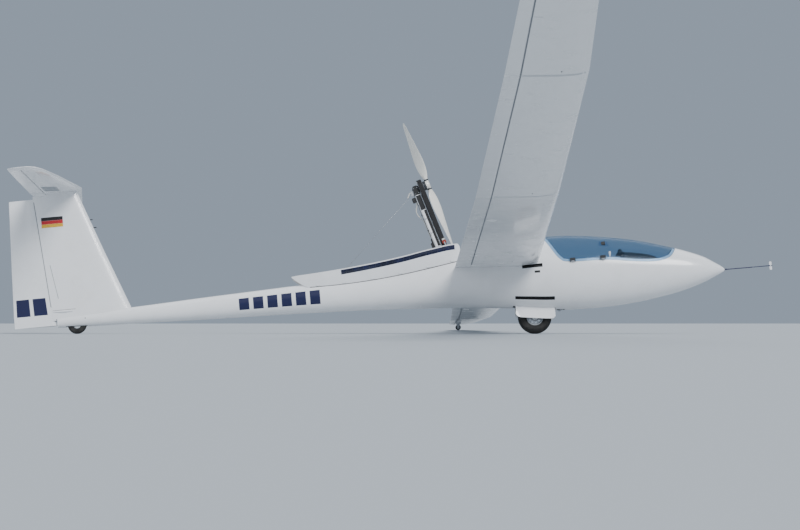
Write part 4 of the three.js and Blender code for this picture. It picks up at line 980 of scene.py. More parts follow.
# Wing-tip wheels: a hard rubber roller on an aluminium core, in a small pressed fork that is
# screwed under each tip. The boxes of the CAD wheels give the exact height of each axle.
TIP_WHEEL = {"station": 2560, "y": 12960}
roller_half = [(26, 13), (37, 13), (43, 9), (46, 5)]
core_half = [(5.5, 13), (12, 13), (13, 8), (22, 7), (26, 12.5)]
roller = [(r, -across) for r, across in roller_half] + roller_half[::-1]
core = [(r, -across) for r, across in core_half] + [(26.4, 0)] + core_half[::-1]
station = TIP_WHEEL["station"]
section = wing_section(TIP_WHEEL["y"])
underside = section.point(section.share(station), -1)[1]
for side, sign in SIDES:
    y = sign * TIP_WHEEL["y"]
    low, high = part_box(f"tip_wheel_{side}")
    centre = (Vector(low) + Vector(high)) / 2
    height = level(centre)[2]
    stands_for(f"tip_wheel_{side}", [
        turned_piece(roller, centre, PORT, 48, rubber),
        turned_piece(core, centre, PORT, 40, aluminium)],
        f"tip_wheel_{side}")
    cheek = [
        (station - 8, height - 14), (station + 8, height - 14), (station + 13, height - 4),
        (station + 26, underside + 4), (station - 34, underside + 4), (station - 13, height - 4)]
    parts = [
        bevelled(plate_piece(cheek, (y + end * 19, y + end * 24), aluminium), 1.0)
        for end in (-1, 1)]
    parts.append(box_piece(
        (station - 33, y - 24, height + 52), (station + 25, y + 24, underside + 4), aluminium))
    parts.append(rod(place(station, y - 27, height), place(station, y + 27, height), 5, steel, 20))
    parts += [
        rod(place(station, y + end * 24, height), place(station, y + end * 29, height), 8, steel, 6)
        for end in (-1, 1)]
    tip_fork = joined("tip_fork", parts)
    carve(tip_fork, wing_loft(Section.whole, 12700, 13200, sign, aluminium))
    stands_for(f"tip_fork_{side}", [tip_fork], "airframe")


# Main wheel doors: thin glass fibre doors that hang open on both sides of the well, each on two
# bent hinge arms.
GEAR_DOOR = {"front": 1908, "rear": 2334, "drop": 118, "thick": 5, "lean": 16, "inner": 90.7}
for side, sign in SIDES:
    rings = []
    inner, thick = GEAR_DOOR["inner"], GEAR_DOOR["thick"]
    for i, station in enumerate(evenly(GEAR_DOOR["front"], GEAR_DOOR["rear"], 19)):
        half, wide, bottom = (hull(station, column) for column in ("half", "wide", "bottom"))
        skin = wide - (wide - bottom) * math.sqrt(1 - (inner / half) ** 2)
        corner = min(1.0, min(i, 18 - i) / 2.2)
        drop = GEAR_DOOR["drop"] * (0.78 + 0.22 * math.sqrt(1 - (1 - corner) ** 2))
        outer = [
            (inner + GEAR_DOOR["lean"] * down ** 1.4, skin + 4 - (drop + 4) * down)
            for down in evenly(0, 1, 7)]
        ring = outer + [(across + thick, z) for across, z in reversed(outer)]
        rings.append([place(station, sign * across, z) for across, z in ring])
    parts = [loft_piece(rings, gelcoat)]
    for station in (1990, 2250):
        low = hull(station, "bottom")
        arm = [
            (72, low + 96), (80, low + 96), (88, low + 40), (inner + 3, low - 4),
            (inner + 6, low - 40), (inner + 1, low - 40), (inner - 6, low - 2), (80, low + 36)]
        parts.append(loft_piece(
            [[place(s, sign * across, z) for across, z in arm] for s in (station - 5, station + 5)],
            dark_steel))
    stands_for(f"gear_door_{side}", parts, "airframe", 40)


# Nose probe: a long metal tube, painted dark blue, with a small white cross vane and a steel ring
# near its tip. It is pushed into a collar in the nose.
navy = mottled("dark_blue_paint", "#141B4C", "#0B1038", 0.35, 90.0, 0, 5.0, 0.0, 1.0)
PROBE_Z = -51
VANE_FRONT = -522
probe = [
    (0, 0.3), (8, 0.3), (8.5, 4), (8, 26), (6, 32), (6, 300), (4.6, 306), (4.6, 488), (6, 494),
    (6, 520), (4.5, 527), (0, 530)]
vane = [(0, -45), (22, -45), (26, -38), (26, 38), (22, 45), (0, 45), (-1, 0)]
stands_for("nose_probe", [
    turned_piece(probe, place(0, 0, PROBE_Z), AHEAD, 32, navy),
    plate_piece([(VANE_FRONT + s, z + PROBE_Z) for s, z in vane], (-1.6, 1.6), gelcoat),
    rod(place(VANE_FRONT + 6, 0, PROBE_Z), place(VANE_FRONT + 20, 0, PROBE_Z), 7.5)],
    "airframe")


# Engine pylon: a white box mast with black side covers on a welded frame, which turns about a
# cross shaft in the bay. It leans a little aft when raised, so it has its own two directions.
LEAN = math.radians(17)
MAST_AHEAD = AHEAD * math.cos(LEAN) + UP * math.sin(LEAN)
MAST_UP = UP * math.cos(LEAN) - AHEAD * math.sin(LEAN)
HUB_UP = 999


def on_mast(ahead, y, up):
    """A point of the pylon, measured in millimetres from its pivot along and up the mast."""
    return PIVOT + (MAST_AHEAD * ahead + PORT * y + MAST_UP * up) / 1000


def mast_box(low, high, material, width, segments):
    """A box on the mast between two corners, each (ahead, y, up), with rounded edges."""
    return bevelled(box_piece(low, high, material, on_mast), width, segments)


parts = [mast_box((-145, -45, 262.3), (-80, 45, 1000), gelcoat, 9, 4)]
cap_side = [
    (-145, 930), (-80, 930), (-76, 950), (-76, 1020), (-92, 1034), (-130, 1034), (-145, 1016)]
for end in (-1, 1):
    parts.append(bevelled(
        plate_piece(cap_side, (end * 45.2, end * 50), recess_shade_and_cover_black, on_mast), 1.0))
    parts += [
        bolt(on_mast(ahead, end * 50, up), PORT * (end * 0.003), 5)
        for ahead in (-132, -92) for up in (946, 1008)]
    parts += [
        mast_box((rear, end * 44.8, low), (-86, end * 47.4, high), recess_shade_and_cover_black, 0.6, 1)
        for rear, low, high in ((-114, 318, 744), (-138, 752, 922))]
parts.append(mast_box((-140, -45, 1001), (-84, 45, 1030), aluminium, 3, 3))
parts.append(rod(on_mast(-86, 0, HUB_UP), on_mast(-25, 0, HUB_UP), 15, steel, 40))
parts.append(rod(on_mast(-80, 0, HUB_UP), on_mast(-75, 0, HUB_UP), 34, steel, 40))
parts += bolt_ring(on_mast(-75, 0, HUB_UP), MAST_AHEAD, 26, 0.01, 6, 4)
parts += [
    mast_box((-147, -47, up), (-78, 47, up + 14), aluminium, 1, 1)
    for up in (300, 470, 640, 810)]
stands_for("mast", parts, "pylon")

arm_side = [
    (28, -16), (28, 16), (22, 26), (-10, 104), (-15, 120), (-15, 250), (-22, 262), (-79.7, 262),
    (-79.7, -20), (-72, -28), (16, -28)]
arm_holes = [(0, 0, 14.3, 32), (-46, 60, 15, 28), (-46, 120, 18, 28), (-46, 184, 18, 28)]
parts = []
for end in (-1, 1):
    arm = plate_piece(arm_side, sorted((end * 76, end * 86)), gelcoat, on_mast)
    for ahead, up, radius, sides in arm_holes:
        carve(arm, rod(
            on_mast(ahead, end * 60, up), on_mast(ahead, end * 100, up), radius, gelcoat, sides))
    parts.append(bevelled(arm, 1.2))
    bush = [(14.3, 0), (22, 0), (22, 4), (14.3, 4)]
    parts.append(turned_piece(bush, on_mast(0, end * 86, 0), PORT * end, 40, steel))
    parts += [
        bolt(on_mast(ahead, end * 86, up), PORT * (end * 0.004), 5.5)
        for ahead, up in ((-70, 20), (-70, 220), (-26, 240), (-60, 250))]
parts.append(mast_box((-145, -76, 205), (-80, 76, 261.8), gelcoat, 4, 3))
parts += [
    bolt(on_mast(ahead, y, 204.5), MAST_UP * 0.004, 5)
    for ahead in (-135, -90) for y in (-62, -22, 22, 62)]
stands_for("pylon_frame", parts, "pylon")

shaft = [(0, 0.3), (12, 0.3), (14, 2.3), (14, 377.4), (12, 379.4), (0, 379.4)]
stands_for("pylon_shaft", [turned_piece(shaft, on_mast(0, -190, 0), PORT, 40, steel)],
           "pylon")


# Engine: a two-stroke flat twin with finned barrels, bolted under the mast. Cast metal is dull
# and sooty, the heads are machined and the plug leads are red.
cast_metal = mottled(
    "sand_cast_aluminium", "#7D7F82", "#34322F", 0.55, 24.0, 0.0005, 8.0, 0.36, 0.66, 600.0, 3.0,
    Metallic=0.8)
# Leads, boxes and hoses are smooth mouldings with a soft shine
red_rubber = mottled("red_silicone_rubber", "#A83A2C", "#7E2A20", 0.5, 70.0)
black_plastic = mottled("black_moulded_plastic", "#2A2B2E", "#17181A", 0.45, 90.0)
white_hose = mottled("white_silicone_hose", "#E9E8E2", "#CFCDC4", 0.45, 60.0)

parts = [mast_box((-200, -72, -65), (-80, 72, 204), cast_metal, 10, 4)]
parts += [
    mast_box((-203, -60, up), (-198, 60, up + 8), cast_metal, 1, 1) for up in (-40, 10, 120, 160)]
barrel = [(0, 60), (38, 60)]
for low in [74 + 5.2 * i for i in range(9)]:
    barrel += [(38, low), (48, low), (48, low + 2.2), (38, low + 2.2)]
barrel += [(38, 121), (44, 122), (46, 124), (46, 127), (44, 128), (0, 128)]
cylinder = on_mast(-142, 0, 62)
for end in (-1, 1):
    parts.append(turned_piece(barrel, cylinder, PORT * end, 48, cast_metal))
    parts += bolt_ring(cylinder, PORT * end, 36, 126.5, 6, 4.5, 0.5)
    parts.append(bolt(cylinder + PORT * (end * 0.127), PORT * (end * 0.006), 9))
    parts += [
        bolt(on_mast(ahead, end * 71, up), PORT * (end * 0.005), 6)
        for ahead in (-180, -100) for up in (-45, 185)]
stands_for("engine_block", parts, "pylon")


# Mast fittings: plug leads, coolant hoses, cables, boxes and clips of rubber, plastic and
# aluminium, strapped and screwed to the mast.
def smooth_path(points, steps):
    """Points on a smooth curve through the given ones, each with the curve's direction."""
    path = [Vector(p) for p in through_points([tuple(p) for p in points], steps)]
    return [(point, (after - before).normalized()) for before, point, after in zip(
        path[:1] + path[:-1], path, path[1:] + path[-1:])]


def hose_piece(points, radius, material, sides=16, steps=6):
    """A hose or cable that follows a smooth curve through points."""
    path = smooth_path(points, steps)
    side = square_to(path[0][1])[0]
    rings = []
    for point, along in path:
        side = (side - along * side.dot(along)).normalized()
        third = along.cross(side)
        rings.append([
            point + (side * math.cos(turn) + third * math.sin(turn)) * (radius / 1000)
            for turn in turns(sides)])
    return loft_piece(rings, material)


PLUG_LEAD = [
    (-142, 122, 62), (-142, 126, 84), (-150, 112, 130), (-150, 86, 190), (-152, 58, 250),
    (-152, 40, 300)]
COOLANT_HOSE = [
    (-196, 50, 20), (-206, 52, 60), (-196, 50, 140), (-168, 40, 210), (-156, 32, 280),
    (-154, 30, 420)]
FUEL_HOSE = [
    (-151, 24, 440), (-154, 24, 560), (-156, 20, 640), (-180, 12, 690), (-196, 2, 740),
    (-186, -8, 790), (-160, -14, 830), (-152, -14, 900)]
CABLE = [(-150, -30, 300), (-151, -32, 500), (-151, -26, 700), (-150, -30, 860), (-148, -30, 960)]
STOP_ARM = [(-160, -20, 985), (-192, -20, 972), (-226, -18, 938)]
HOSES = [
    (PLUG_LEAD, 1, 3.5, red_rubber), (PLUG_LEAD, -1, 3.5, red_rubber),
    (COOLANT_HOSE, 1, 8, black_plastic), (COOLANT_HOSE, -1, 8, black_plastic),
    (FUEL_HOSE, 1, 5, white_hose), (CABLE, 1, 3, black_plastic), (STOP_ARM, 1, 6, white_hose)]
parts = [
    hose_piece([on_mast(ahead, sign * y, up) for ahead, y, up in line], radius, material)
    for line, sign, radius, material in HOSES]
# Starter, stop box, belt tensioner, filler with its bracket and cap, fuel pump and relay
MAST_BOXES = [
    ((-190, -30, 860), (-146, 30, 915), black_plastic, 5, 3),
    ((-176, -34, 940), (-146, 8, 990), aluminium, 3, 2),
    ((-79.5, -30, 560), (-72, 30, 610), aluminium, 1, 1),
    ((-44, -89, 226), (-32, -86.2, 332), aluminium, 1, 1),
    ((-60, -86, 316), (-16, -62, 352), red_rubber, 3, 2),
    ((-54, -84, 353), (-22, -64, 372), white_hose, 3, 2),
    ((-180, -34, 318), (-147.5, 34, 376), black_plastic, 4, 2),
    ((-120, -96, 210), (-86, -77.5, 250), aluminium, 2, 2)]
parts += [mast_box(*row) for row in MAST_BOXES]
parts += [
    mast_box((-158, -38, up), (-144.5, 38, up + 7), black_plastic, 1, 1)
    for up in (330, 520, 700, 880)]
parts += [
    rod(on_mast(-74, y, 585), on_mast(-66, y, 585), 13, dark_steel, 28) for y in (-20, 20)]
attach(dressed("mast_fittings", parts), "pylon")


# Belt drive: a grooved crankshaft pulley and a large pulley under the propeller hub, turned from
# aluminium, with a wide ribbed rubber belt between them.
UPPER_RADIUS = 78
LOWER_RADIUS = 42
LOWER_UP = 164
GROOVE_PITCH = 5


def grooved(radius, rear, front):
    """Pulley rim with grooves that the belt's ribs sit in."""
    points = [(radius, rear)]
    count = int((front - rear - 6) / GROOVE_PITCH)
    start = rear + (front - rear - count * GROOVE_PITCH) / 2
    for low in [start + i * GROOVE_PITCH for i in range(count)]:
        points += [(radius, low + 1), (radius - 2, low + 2.5), (radius, low + 4)]
    return points + [(radius, front)]


lower_side = [(0, -68)] + grooved(LOWER_RADIUS, -68, -22)
lower_side += [(30, -22), (28, -26), (12, -26), (12, -22), (0, -22)]
parts = [turned_piece(lower_side, on_mast(0, 0, LOWER_UP), MAST_AHEAD, 72, aluminium)]
parts.append(rod(on_mast(-79.6, 0, LOWER_UP), on_mast(-66, 0, LOWER_UP), 15, steel, 36))
parts += bolt_ring(on_mast(-26, 0, LOWER_UP), MAST_AHEAD, 20, 0.01, 5, 4)
stands_for("lower_pulley", parts, "pylon")

upper_side = [(15.5, -72), (40, -72), (44, -66), (68, -66), (72, -72)]
upper_side += grooved(UPPER_RADIUS, -72, -18)
upper_side += [(72, -18), (68, -24), (44, -24), (40, -18), (15.5, -18)]
upper_pulley = turned_piece(upper_side, on_mast(0, 0, HUB_UP), MAST_AHEAD, 96, aluminium)
spots = [(56 * math.cos(turn), HUB_UP + 56 * math.sin(turn)) for turn in turns(8)]
carve(upper_pulley, joined("holes", [
    rod(on_mast(-80, y, up), on_mast(-10, y, up), 9, aluminium, 20) for y, up in spots]))
upper_rim = dressed("upper_rim", [upper_pulley])
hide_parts("upper_pulley")
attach(upper_rim, "propeller")


def belt_outline(upper_extra, lower_extra):
    """The belt's path round both pulleys as (across, up), with extra radius at each."""
    slope = math.asin((UPPER_RADIUS - LOWER_RADIUS) / (HUB_UP - LOWER_UP))
    arcs = [
        (UPPER_RADIUS + upper_extra, HUB_UP, -slope, math.pi + slope),
        (LOWER_RADIUS + lower_extra, LOWER_UP, math.pi + slope, 2 * math.pi - slope)]
    return [
        (radius * math.cos(turn), up + radius * math.sin(turn))
        for radius, up, first, last in arcs for turn in evenly(first, last, 41)]


# The belt is dry, dark rubber, a little shinier than a tyre
belt_rubber = mottled("black_ribbed_belt_rubber", "#232326", "#131315", 0.6, 120.0)
belt_across = [(0, -70), (0, -20)]
for high in [-20 - 5.55 * i for i in range(9)]:
    belt_across += [(1, high), (1, high - 4.2), (0.74, high - 4.4), (0.74, high - 5.3)]
belt_across.append((1, -70))
rings = [
    [on_mast(along, y0 + (y1 - y0) * share, u0 + (u1 - u0) * share)
     for share, along in belt_across]
    for (y0, u0), (y1, u1) in zip(belt_outline(1.4, 0.67), belt_outline(8.4, 7.67))]
stands_for("drive_belt", [loft_piece(rings, belt_rubber, closed=True)],
           "pylon", 30)


# Propeller: two wooden blades under white paint, clamped in a bolted steel hub, each with a dark
# metal cuff round its root.
hub = [(0, -17.7), (50, -17.7), (52, -15.7), (52, 12), (50, 14), (0, 14)]
parts = [turned_piece(hub, on_mast(0, 0, HUB_UP), MAST_AHEAD, 64, dark_steel)]
parts += bolt_ring(on_mast(14, 0, HUB_UP), MAST_AHEAD, 49, -0.01, 6, 2.5)
stands_for("propeller_hub", parts, "propeller")

blade_paint = gelcoat_material("white_propeller_paint", "#F4F2EA", "#CDC9BA", 0.2)
BLADE = [dict(zip(("reach", "chord", "thick", "pitch", "round"), row)) for row in (
    (20, 42, 42, 56, 1), (62, 44, 40, 56, 1), (110, 84, 32, 52, 0.5), (190, 130, 24, 44, 0),
    (300, 156, 18, 36, 0), (450, 142, 13, 28, 0), (600, 108, 9, 22, 0), (690, 78, 6.5, 19.5, 0),
    (728, 48, 4.5, 18.5, 0), (740, 14, 2.5, 18, 0))]


def blade_piece(sign):
    """One blade, up (1) or down (-1) the mast, round at its root and an aerofoil further out."""
    rings = []
    for reach in evenly(20, 740, 45):
        chord, thick, pitch, roundness = (
            smooth_between(BLADE, "reach", reach, column)
            for column in ("chord", "thick", "pitch", "round"))
        pitch = math.radians(pitch)
        roundness = min(1, max(0, roundness))
        ring = []
        for turn in turns(28):
            along = chord / 2 * math.cos(turn)
            circle = thick / 2 * math.sin(turn)
            foil = circle * (0.62 + 0.5 * math.cos(turn) if math.sin(turn) > 0 else 0.8)
            across = circle * roundness + foil * (1 - roundness)
            ring.append(on_mast(
                38 + along * math.sin(pitch) + across * math.cos(pitch),
                sign * (-along * math.cos(pitch) + across * math.sin(pitch)),
                HUB_UP + sign * reach))
        rings.append(ring)
    return loft_piece(rings, blade_paint)


boss = [(0, 14.3), (44, 14.3), (46, 16.3), (46, 40), (40, 52), (30, 58), (0, 58)]
cuff = [(21.5, 44), (24, 46), (24, 60), (21.5, 62)]
parts = [turned_piece(boss, on_mast(0, 0, HUB_UP), MAST_AHEAD, 64, blade_paint)]
parts += bolt_ring(on_mast(55, 0, HUB_UP), MAST_AHEAD, 24, 0.01, 6, 4.5)
for end in (1, -1):
    parts.append(blade_piece(end))
    parts.append(turned_piece(cuff, on_mast(38, 0, HUB_UP), MAST_UP * end, 40, dark_steel))
stands_for("propeller", parts, "propeller", 40)


# Engine-bay doors: two long glass fibre doors hinged beside the bay opening that stand up while
# the pylon is out. Their outside is part of the fuselage skin, their inside is painted grey, and
# a thin black strip along the foot of each, against the skin, is painted shade of the gap there.
DOOR = [dict(zip(("station", "low", "high"), row)) for row in (
    (2888, 342, 402), (2892, 328, 424), (2902, 296, 446), (2918, 266, 457), (2950, 261, 457),
    (3200, 222, 426), (3557, 172, 366), (3900, 140, 322), (4285, 122, 286), (4560, 120, 268),
    (4640, 158, 264), (4710, 208, 260), (4752, 246, 256))]
DOOR_THICK = 10
DOOR_LEAN = 30
DOOR_HEIGHT = 180
DOOR_HINGES = (2985, 3250, 3560, 3870, 4180, 4470)
DOOR_RIBS = (3100, 3500, 4000)


def door_edge(station, column):
    return smooth_between(DOOR, "station", station, column)


def door_point(station, z, out, sign):
    """A point on the outside of a bay door, moved outward by a distance."""
    edge = smooth_between(BAY_EDGE, "station", max(2918, min(station, 4560)), "y")
    share = (z - door_edge(station, "low")) / DOOR_HEIGHT
    bulge = 5 * math.sin(math.pi * min(max(share, 0), 1))
    return place(station, sign * (edge + 2 + share * DOOR_LEAN + bulge + out), z)


def door_foot(station, sign):
    """The lowest point of a bay door's outside that is clear of the fuselage skin."""
    half, wide, top = (hull(station, column) for column in ("half", "wide", "top"))
    z = door_edge(station, "low")
    point = door_point(station, z, DOOR_THICK, sign)
    while (level(point)[1] / half) ** 2 + ((z - wide) / (top - wide)) ** 2 < 1:
        z += 1
        point = door_point(station, z, DOOR_THICK, sign)
    return point


def door_slab(stations, heights, outs, sign, material):
    """A slab on a bay door, between two heights read at each station and two distances out."""
    rings = []
    for station in stations:
        low, high = heights(station)
        corners = ((low, outs[0]), (high, outs[0]), (high, outs[1]), (low, outs[1]))
        rings.append([door_point(station, z, out, sign) for z, out in corners])
    return loft_piece(rings, material)


def below_edge(low, high):
    """Two heights that follow a door's upper edge at distances below it."""
    return lambda station: [door_edge(station, "high") - drop for drop in (low, high)]


def above_foot(at, low, high):
    """Two level heights above a door's lower edge at one station."""
    return lambda station: [door_edge(at, "low") + rise for rise in (low, high)]


# Solar cells are almost black with a blue tint, under a clear sheet with a bright mirror shine
cell_blue = mottled(
    "monocrystalline_solar_cells", "#131B45", "#080C24", 0.12, 14.0, 0, 3.0, 0.35, 0.7,
    **{"Coat Weight": 0.6})
for side, sign in SIDES:
    rings = []
    stations = [2888, 2890, 2892, 2896, 2902, 2910, 2918, 2932] + evenly(2950, 4752, 57)
    for station in stations:
        heights = evenly(door_edge(station, "low"), door_edge(station, "high"), 9)
        inner, outer = (
            [door_point(station, z, out, sign) for z in heights] for out in (0, DOOR_THICK))
        rings.append(inner + outer[::-1])
    door = loft_piece(rings, gelcoat)
    carve(door, fuselage_piece(2700, SHELL_END, -0.4, gelcoat))
    door.data.materials.append(lining)
    for polygon in door.data.polygons:
        if polygon.normal.dot(PORT * sign) < -0.6:
            polygon.material_index = len(door.data.materials) - 1
    parts = [door]
    for station in DOOR_HINGES:
        barrel = door_point(station, door_edge(station, "low") + 16, DOOR_THICK + 4, sign)
        parts.append(rod(barrel - AHEAD * 0.016, barrel + AHEAD * 0.016, 4.5, gelcoat, 16))
        parts += [
            rod(barrel + AHEAD * (end * 0.016), barrel + AHEAD * (end * 0.019), 3, steel, 12)
            for end in (-1, 1)]
        parts.append(door_slab(
            (station - 15, station + 15), above_foot(station, 16, 48),
            (DOOR_THICK, DOOR_THICK + 2), sign, gelcoat))
    parts += [
        door_slab((at, at + 10), above_foot(at, 12, 150), (-12, 0.5), sign, lining)
        for at in DOOR_RIBS]
    # A black strip along the foot of the door is painted shade of the gap between door and skin.
    foot_shade_line = [door_foot(station, sign) for station in evenly(2930, 4560, 24)]
    parts.append(hose_piece(foot_shade_line, 4, recess_shade_and_cover_black, 10, 2))
    stands_for(f"bay_door_{side}", parts, "airframe")

    # Solar cells: twenty columns of two dark cells on a grey backing, with dark gaps between
    backing = (DOOR_THICK + 0.3, DOOR_THICK + 1.5)
    parts = [door_slab(evenly(2945, 4205, 61), below_edge(62, 12), backing, sign, dark_steel)]
    pitch = (4205 - 2945) / 20
    for front in [2945 + pitch * i for i in range(20)]:
        parts += [
            door_slab(
                evenly(front + 1.5, front + pitch - 1.5, 4), below_edge(low + 22, low),
                (DOOR_THICK + 1.0, DOOR_THICK + 2.2), sign, cell_blue)
            for low in (14, 38)]
    stands_for(f"solar_strip_{side}", parts, "airframe")


# Engine bay fittings: the rails, the electric spindle drive that raises the pylon with its motor
# and foot, and the eye bolt of the stop cable, all screwed to the bay's floor and port wall.
parts = [
    bevelled(box_piece((3060, end * 96, -60), (4300, end * 108, -48), aluminium), 1, 1)
    for end in (-1, 1)]
parts += [
    rod(place(4380, 0, -40), place(3420, 0, -60), 9),
    bevelled(box_piece((4360, -34, -75), (4500, 34, -5), black_plastic), 8, 3),
    box_piece((4400, -60, -112), (4460, 60, -70), aluminium),
    rod(place(4420, 142, 60), place(4420, 81, 60), 6, steel, 20)]
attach(dressed("bay_fittings", parts), "airframe")

# Stop cable: a taut steel cable from a lug on the mast's head to the eye bolt, which keeps the
# raised pylon from going too far forward.
cable_lug = rod(on_mast(-132, 44, 985), on_mast(-132, 70, 985), 7, steel, 20)
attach(dressed("cable_lug", [cable_lug]), "pylon")
cable_top = on_mast(-134, 65, 985)
cable_end = place(4420, 86, 60)
stop_cable = dressed("stop_cable", [hose_piece(
    [cable_top.lerp(cable_end, share) for share in evenly(0, 1, 25)], 2, steel, 8, 2)])
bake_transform(stop_cable)


# Canopy hinges: two brackets of black painted steel on the starboard sill, bonded to the canopy
# frame, each on a steel pin that is fixed to the fuselage by a lug.
bracket_paint = mottled("black_painted_steel", "#2E3033", "#1E2023", 0.4, 120.0)
pins = []
for station, where in ((1350, "front"), (1680, "rear")):
    middle = place(station, -306, 148)
    along = AHEAD / 1000
    slab = box_piece((station - 30, -312, 154), (station + 30, -280, 184), bracket_paint)
    carve(slab, fuselage_piece(1200, 1900, -0.3, bracket_paint, 20))
    carve(slab, rod(middle - along * 18.4, middle + along * 18.4, 7.2, bracket_paint))
    parts = [slab] + [
        rod(middle + along * (end * 18.4), middle + along * (end * 30), 8, bracket_paint, 28)
        for end in (-1, 1)]
    stands_for(f"canopy_hinge_{where}", parts, "canopy")
    pins.append(rod(middle - along * 18, middle + along * 18, 6))
    pins.append(rod(middle, place(station, -280, 122), 5, steel, 16))
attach(dressed("canopy_pins", pins), "airframe")


# Canopy fittings: a small sliding window of clear acrylic with a black air scoop on the starboard
# side, and the white lock lever screwed through the frame.
window = patch_piece(evenly(1270, 1380, 7), evenly(138, 126, 5), on_fuselage, acrylic, 2.6, -0.3)
scoop = loft_piece([
    [on_fuselage(station, angle, out)
     for angle, out in ((136, 0.5), (128, 0.5), (128, top), (136, top))]
    for station, top in ((1304, 17), (1346, 5))], black_plastic)
knob = place(1268, -262, 150)
knob_side = [(0, 0), (8, 1), (11, 8), (11, 22), (8, 28), (0, 29)]
parts = [
    window, bevelled(scoop, 1.5), rod(knob - UP * 0.01, knob + UP * 0.052, 5, gelcoat, 20),
    turned_piece(knob_side, knob + UP * 0.045, UP, 28, gelcoat)]
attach(dressed("canopy_fittings", parts), "canopy")


# Tow hook: a small forged steel hook in a recess under the seat, with the blackened ring that
# lets the rope go. It is bolted to the keel above the recess.
hook_side = [
    (1812, -346), (1830, -346), (1838, -352), (1850, -360), (1862, -358), (1866, -352),
    (1858, -350), (1850, -354), (1842, -348), (1846, -344), (1846, -338), (1812, -338)]
ring_side = [(9, -1.8), (11, -1.8), (12, 0), (11, 1.8), (9, 1.8), (8, 0)]
parts = [
    bevelled(plate_piece(hook_side, (-5, 5), steel), 0.8),
    turned_piece(ring_side, place(1858, 0, -346), PORT, 36, dark_steel)]
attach(dressed("tow_hook", parts), "airframe")


# Seat: a thin glass fibre pan shaped to a leaning back, painted like the cockpit and bonded
# between its walls.
def cabin_cut(piece, material):
    """Keeps only what lies inside the cockpit walls."""
    carve(piece, fuselage_piece(332, 1998, 12.4, material), "INTERSECT")


SEAT_TOP = [
    (1104, -214), (1170, -236), (1240, -252), (1350, -260), (1470, -262), (1530, -252),
    (1570, -226), (1630, -154), (1700, -70), (1780, 28), (1846, 118)]
seat_curve = through_points(SEAT_TOP, 4)
seat_pan = plate_piece(seat_curve + offset_line(seat_curve, -13)[::-1], (-400, 400), lining)
cabin_cut(seat_pan, lining)
carve(seat_pan, above_sill(-2, lining))
stands_for("seat_pan", [seat_pan], "airframe")


# Cushions: brown woven covers over soft foam, quilted across, with piping round the edge. The
# headrest has pale stripes across it. The cover's threads are about a millimetre apart.
def cloth_material(name, colour, shade, stripe=None):
    """Woven cloth that has faded in patches, plain or with bands of a stripe colour."""
    material, shader = new_material(name, Roughness=0.9, **{"Sheen Weight": 0.35})
    where = add_node(material, "ShaderNodeTexCoord").outputs["Object"]
    base = tinted(material, noise(material, 9.0, 5.0), colour, shade)
    if stripe:
        bands = add_node(
            material, "ShaderNodeTexWave", [(where, "Vector")], Scale=7.0, wave_type="BANDS",
            bands_direction="Z", wave_profile="SIN").outputs["Fac"]
        base = tinted(material, ranged(material, bands, 0.72, 0.78), base, stripe)
    link(material, base, shader, "Base Color")
    threads = [
        (add_node(
            material, "ShaderNodeTexWave", [(where, "Vector")], Scale=310.0, Distortion=1.0,
            bands_direction=direction).outputs["Fac"], i)
        for i, direction in enumerate("XY")]
    weave = add_node(material, "ShaderNodeMath", threads, operation="MULTIPLY")
    relief(material, shader, weave.outputs["Value"], 0.0005)
    return material


brown_cloth = cloth_material("brown_woven_cloth", "#5B3B2C", "#432A20")
striped_cloth = cloth_material("striped_woven_cloth", "#4A2E24", "#35211A", "#D9CDBB")
PUFF_VOXEL = 0.006
PUFF_STEPS = 20
SEAM_REACH = 0.012


def settled(piece):
    """A piece's mesh with its modifiers applied."""
    bpy.context.view_layer.update()
    evaluated = piece.evaluated_get(bpy.context.evaluated_depsgraph_get())
    return bpy.data.meshes.new_from_object(evaluated)


def puffed(piece, line, cap, seams):
    """Swells a pad like stuffed cloth up to a cap, then sinks its seams, (point, direction)."""
    remesh = piece.modifiers.new("remesh", "REMESH")
    remesh.mode = "VOXEL"
    remesh.voxel_size = PUFF_VOXEL
    base = settled(piece)
    piece.modifiers.clear()
    piece.data = base
    rest = [vertex.co.copy() for vertex in base.vertices]
    cloth = piece.modifiers.new("cloth", "CLOTH")
    cloth.settings.use_pressure = True
    cloth.settings.uniform_pressure_force = 4.0
    cloth.settings.effector_weights.gravity = 0.0
    cloth.settings.quality = 4
    cloth.point_cache.frame_start = 1
    cloth.point_cache.frame_end = PUFF_STEPS
    for step in range(1, PUFF_STEPS + 1):
        bpy.context.scene.frame_set(step)
    swollen = settled(piece)
    piece.modifiers.clear()
    bpy.context.scene.frame_set(1)
    for vertex, start in zip(swollen.vertices, rest):
        move = vertex.co - start
        if move.length > cap:
            vertex.co = start + move * (cap / move.length)
    piece.data = swollen
    for vertex in piece.data.vertices:
        for point, direction in seams:
            gap = abs((vertex.co - point).dot(direction))
            if gap < SEAM_REACH:
                sink = 0.16 * (1 - gap / SEAM_REACH) ** 2
                vertex.co += (middle_under(line, vertex.co) - vertex.co) * sink
    smooth = piece.modifiers.new("subdivide", "SUBSURF")
    smooth.levels = 1
    piece.data = settled(piece)
    piece.modifiers.clear()
    return piece


def middle_under(line, point):
    """The point of a pad's middle surface that lies under a point of its skin."""
    station, y, z = level(point)
    near = min(line, key=lambda spot: (spot[0] - station) ** 2 + (spot[1] - z) ** 2)
    return place(near[0], y, near[1])


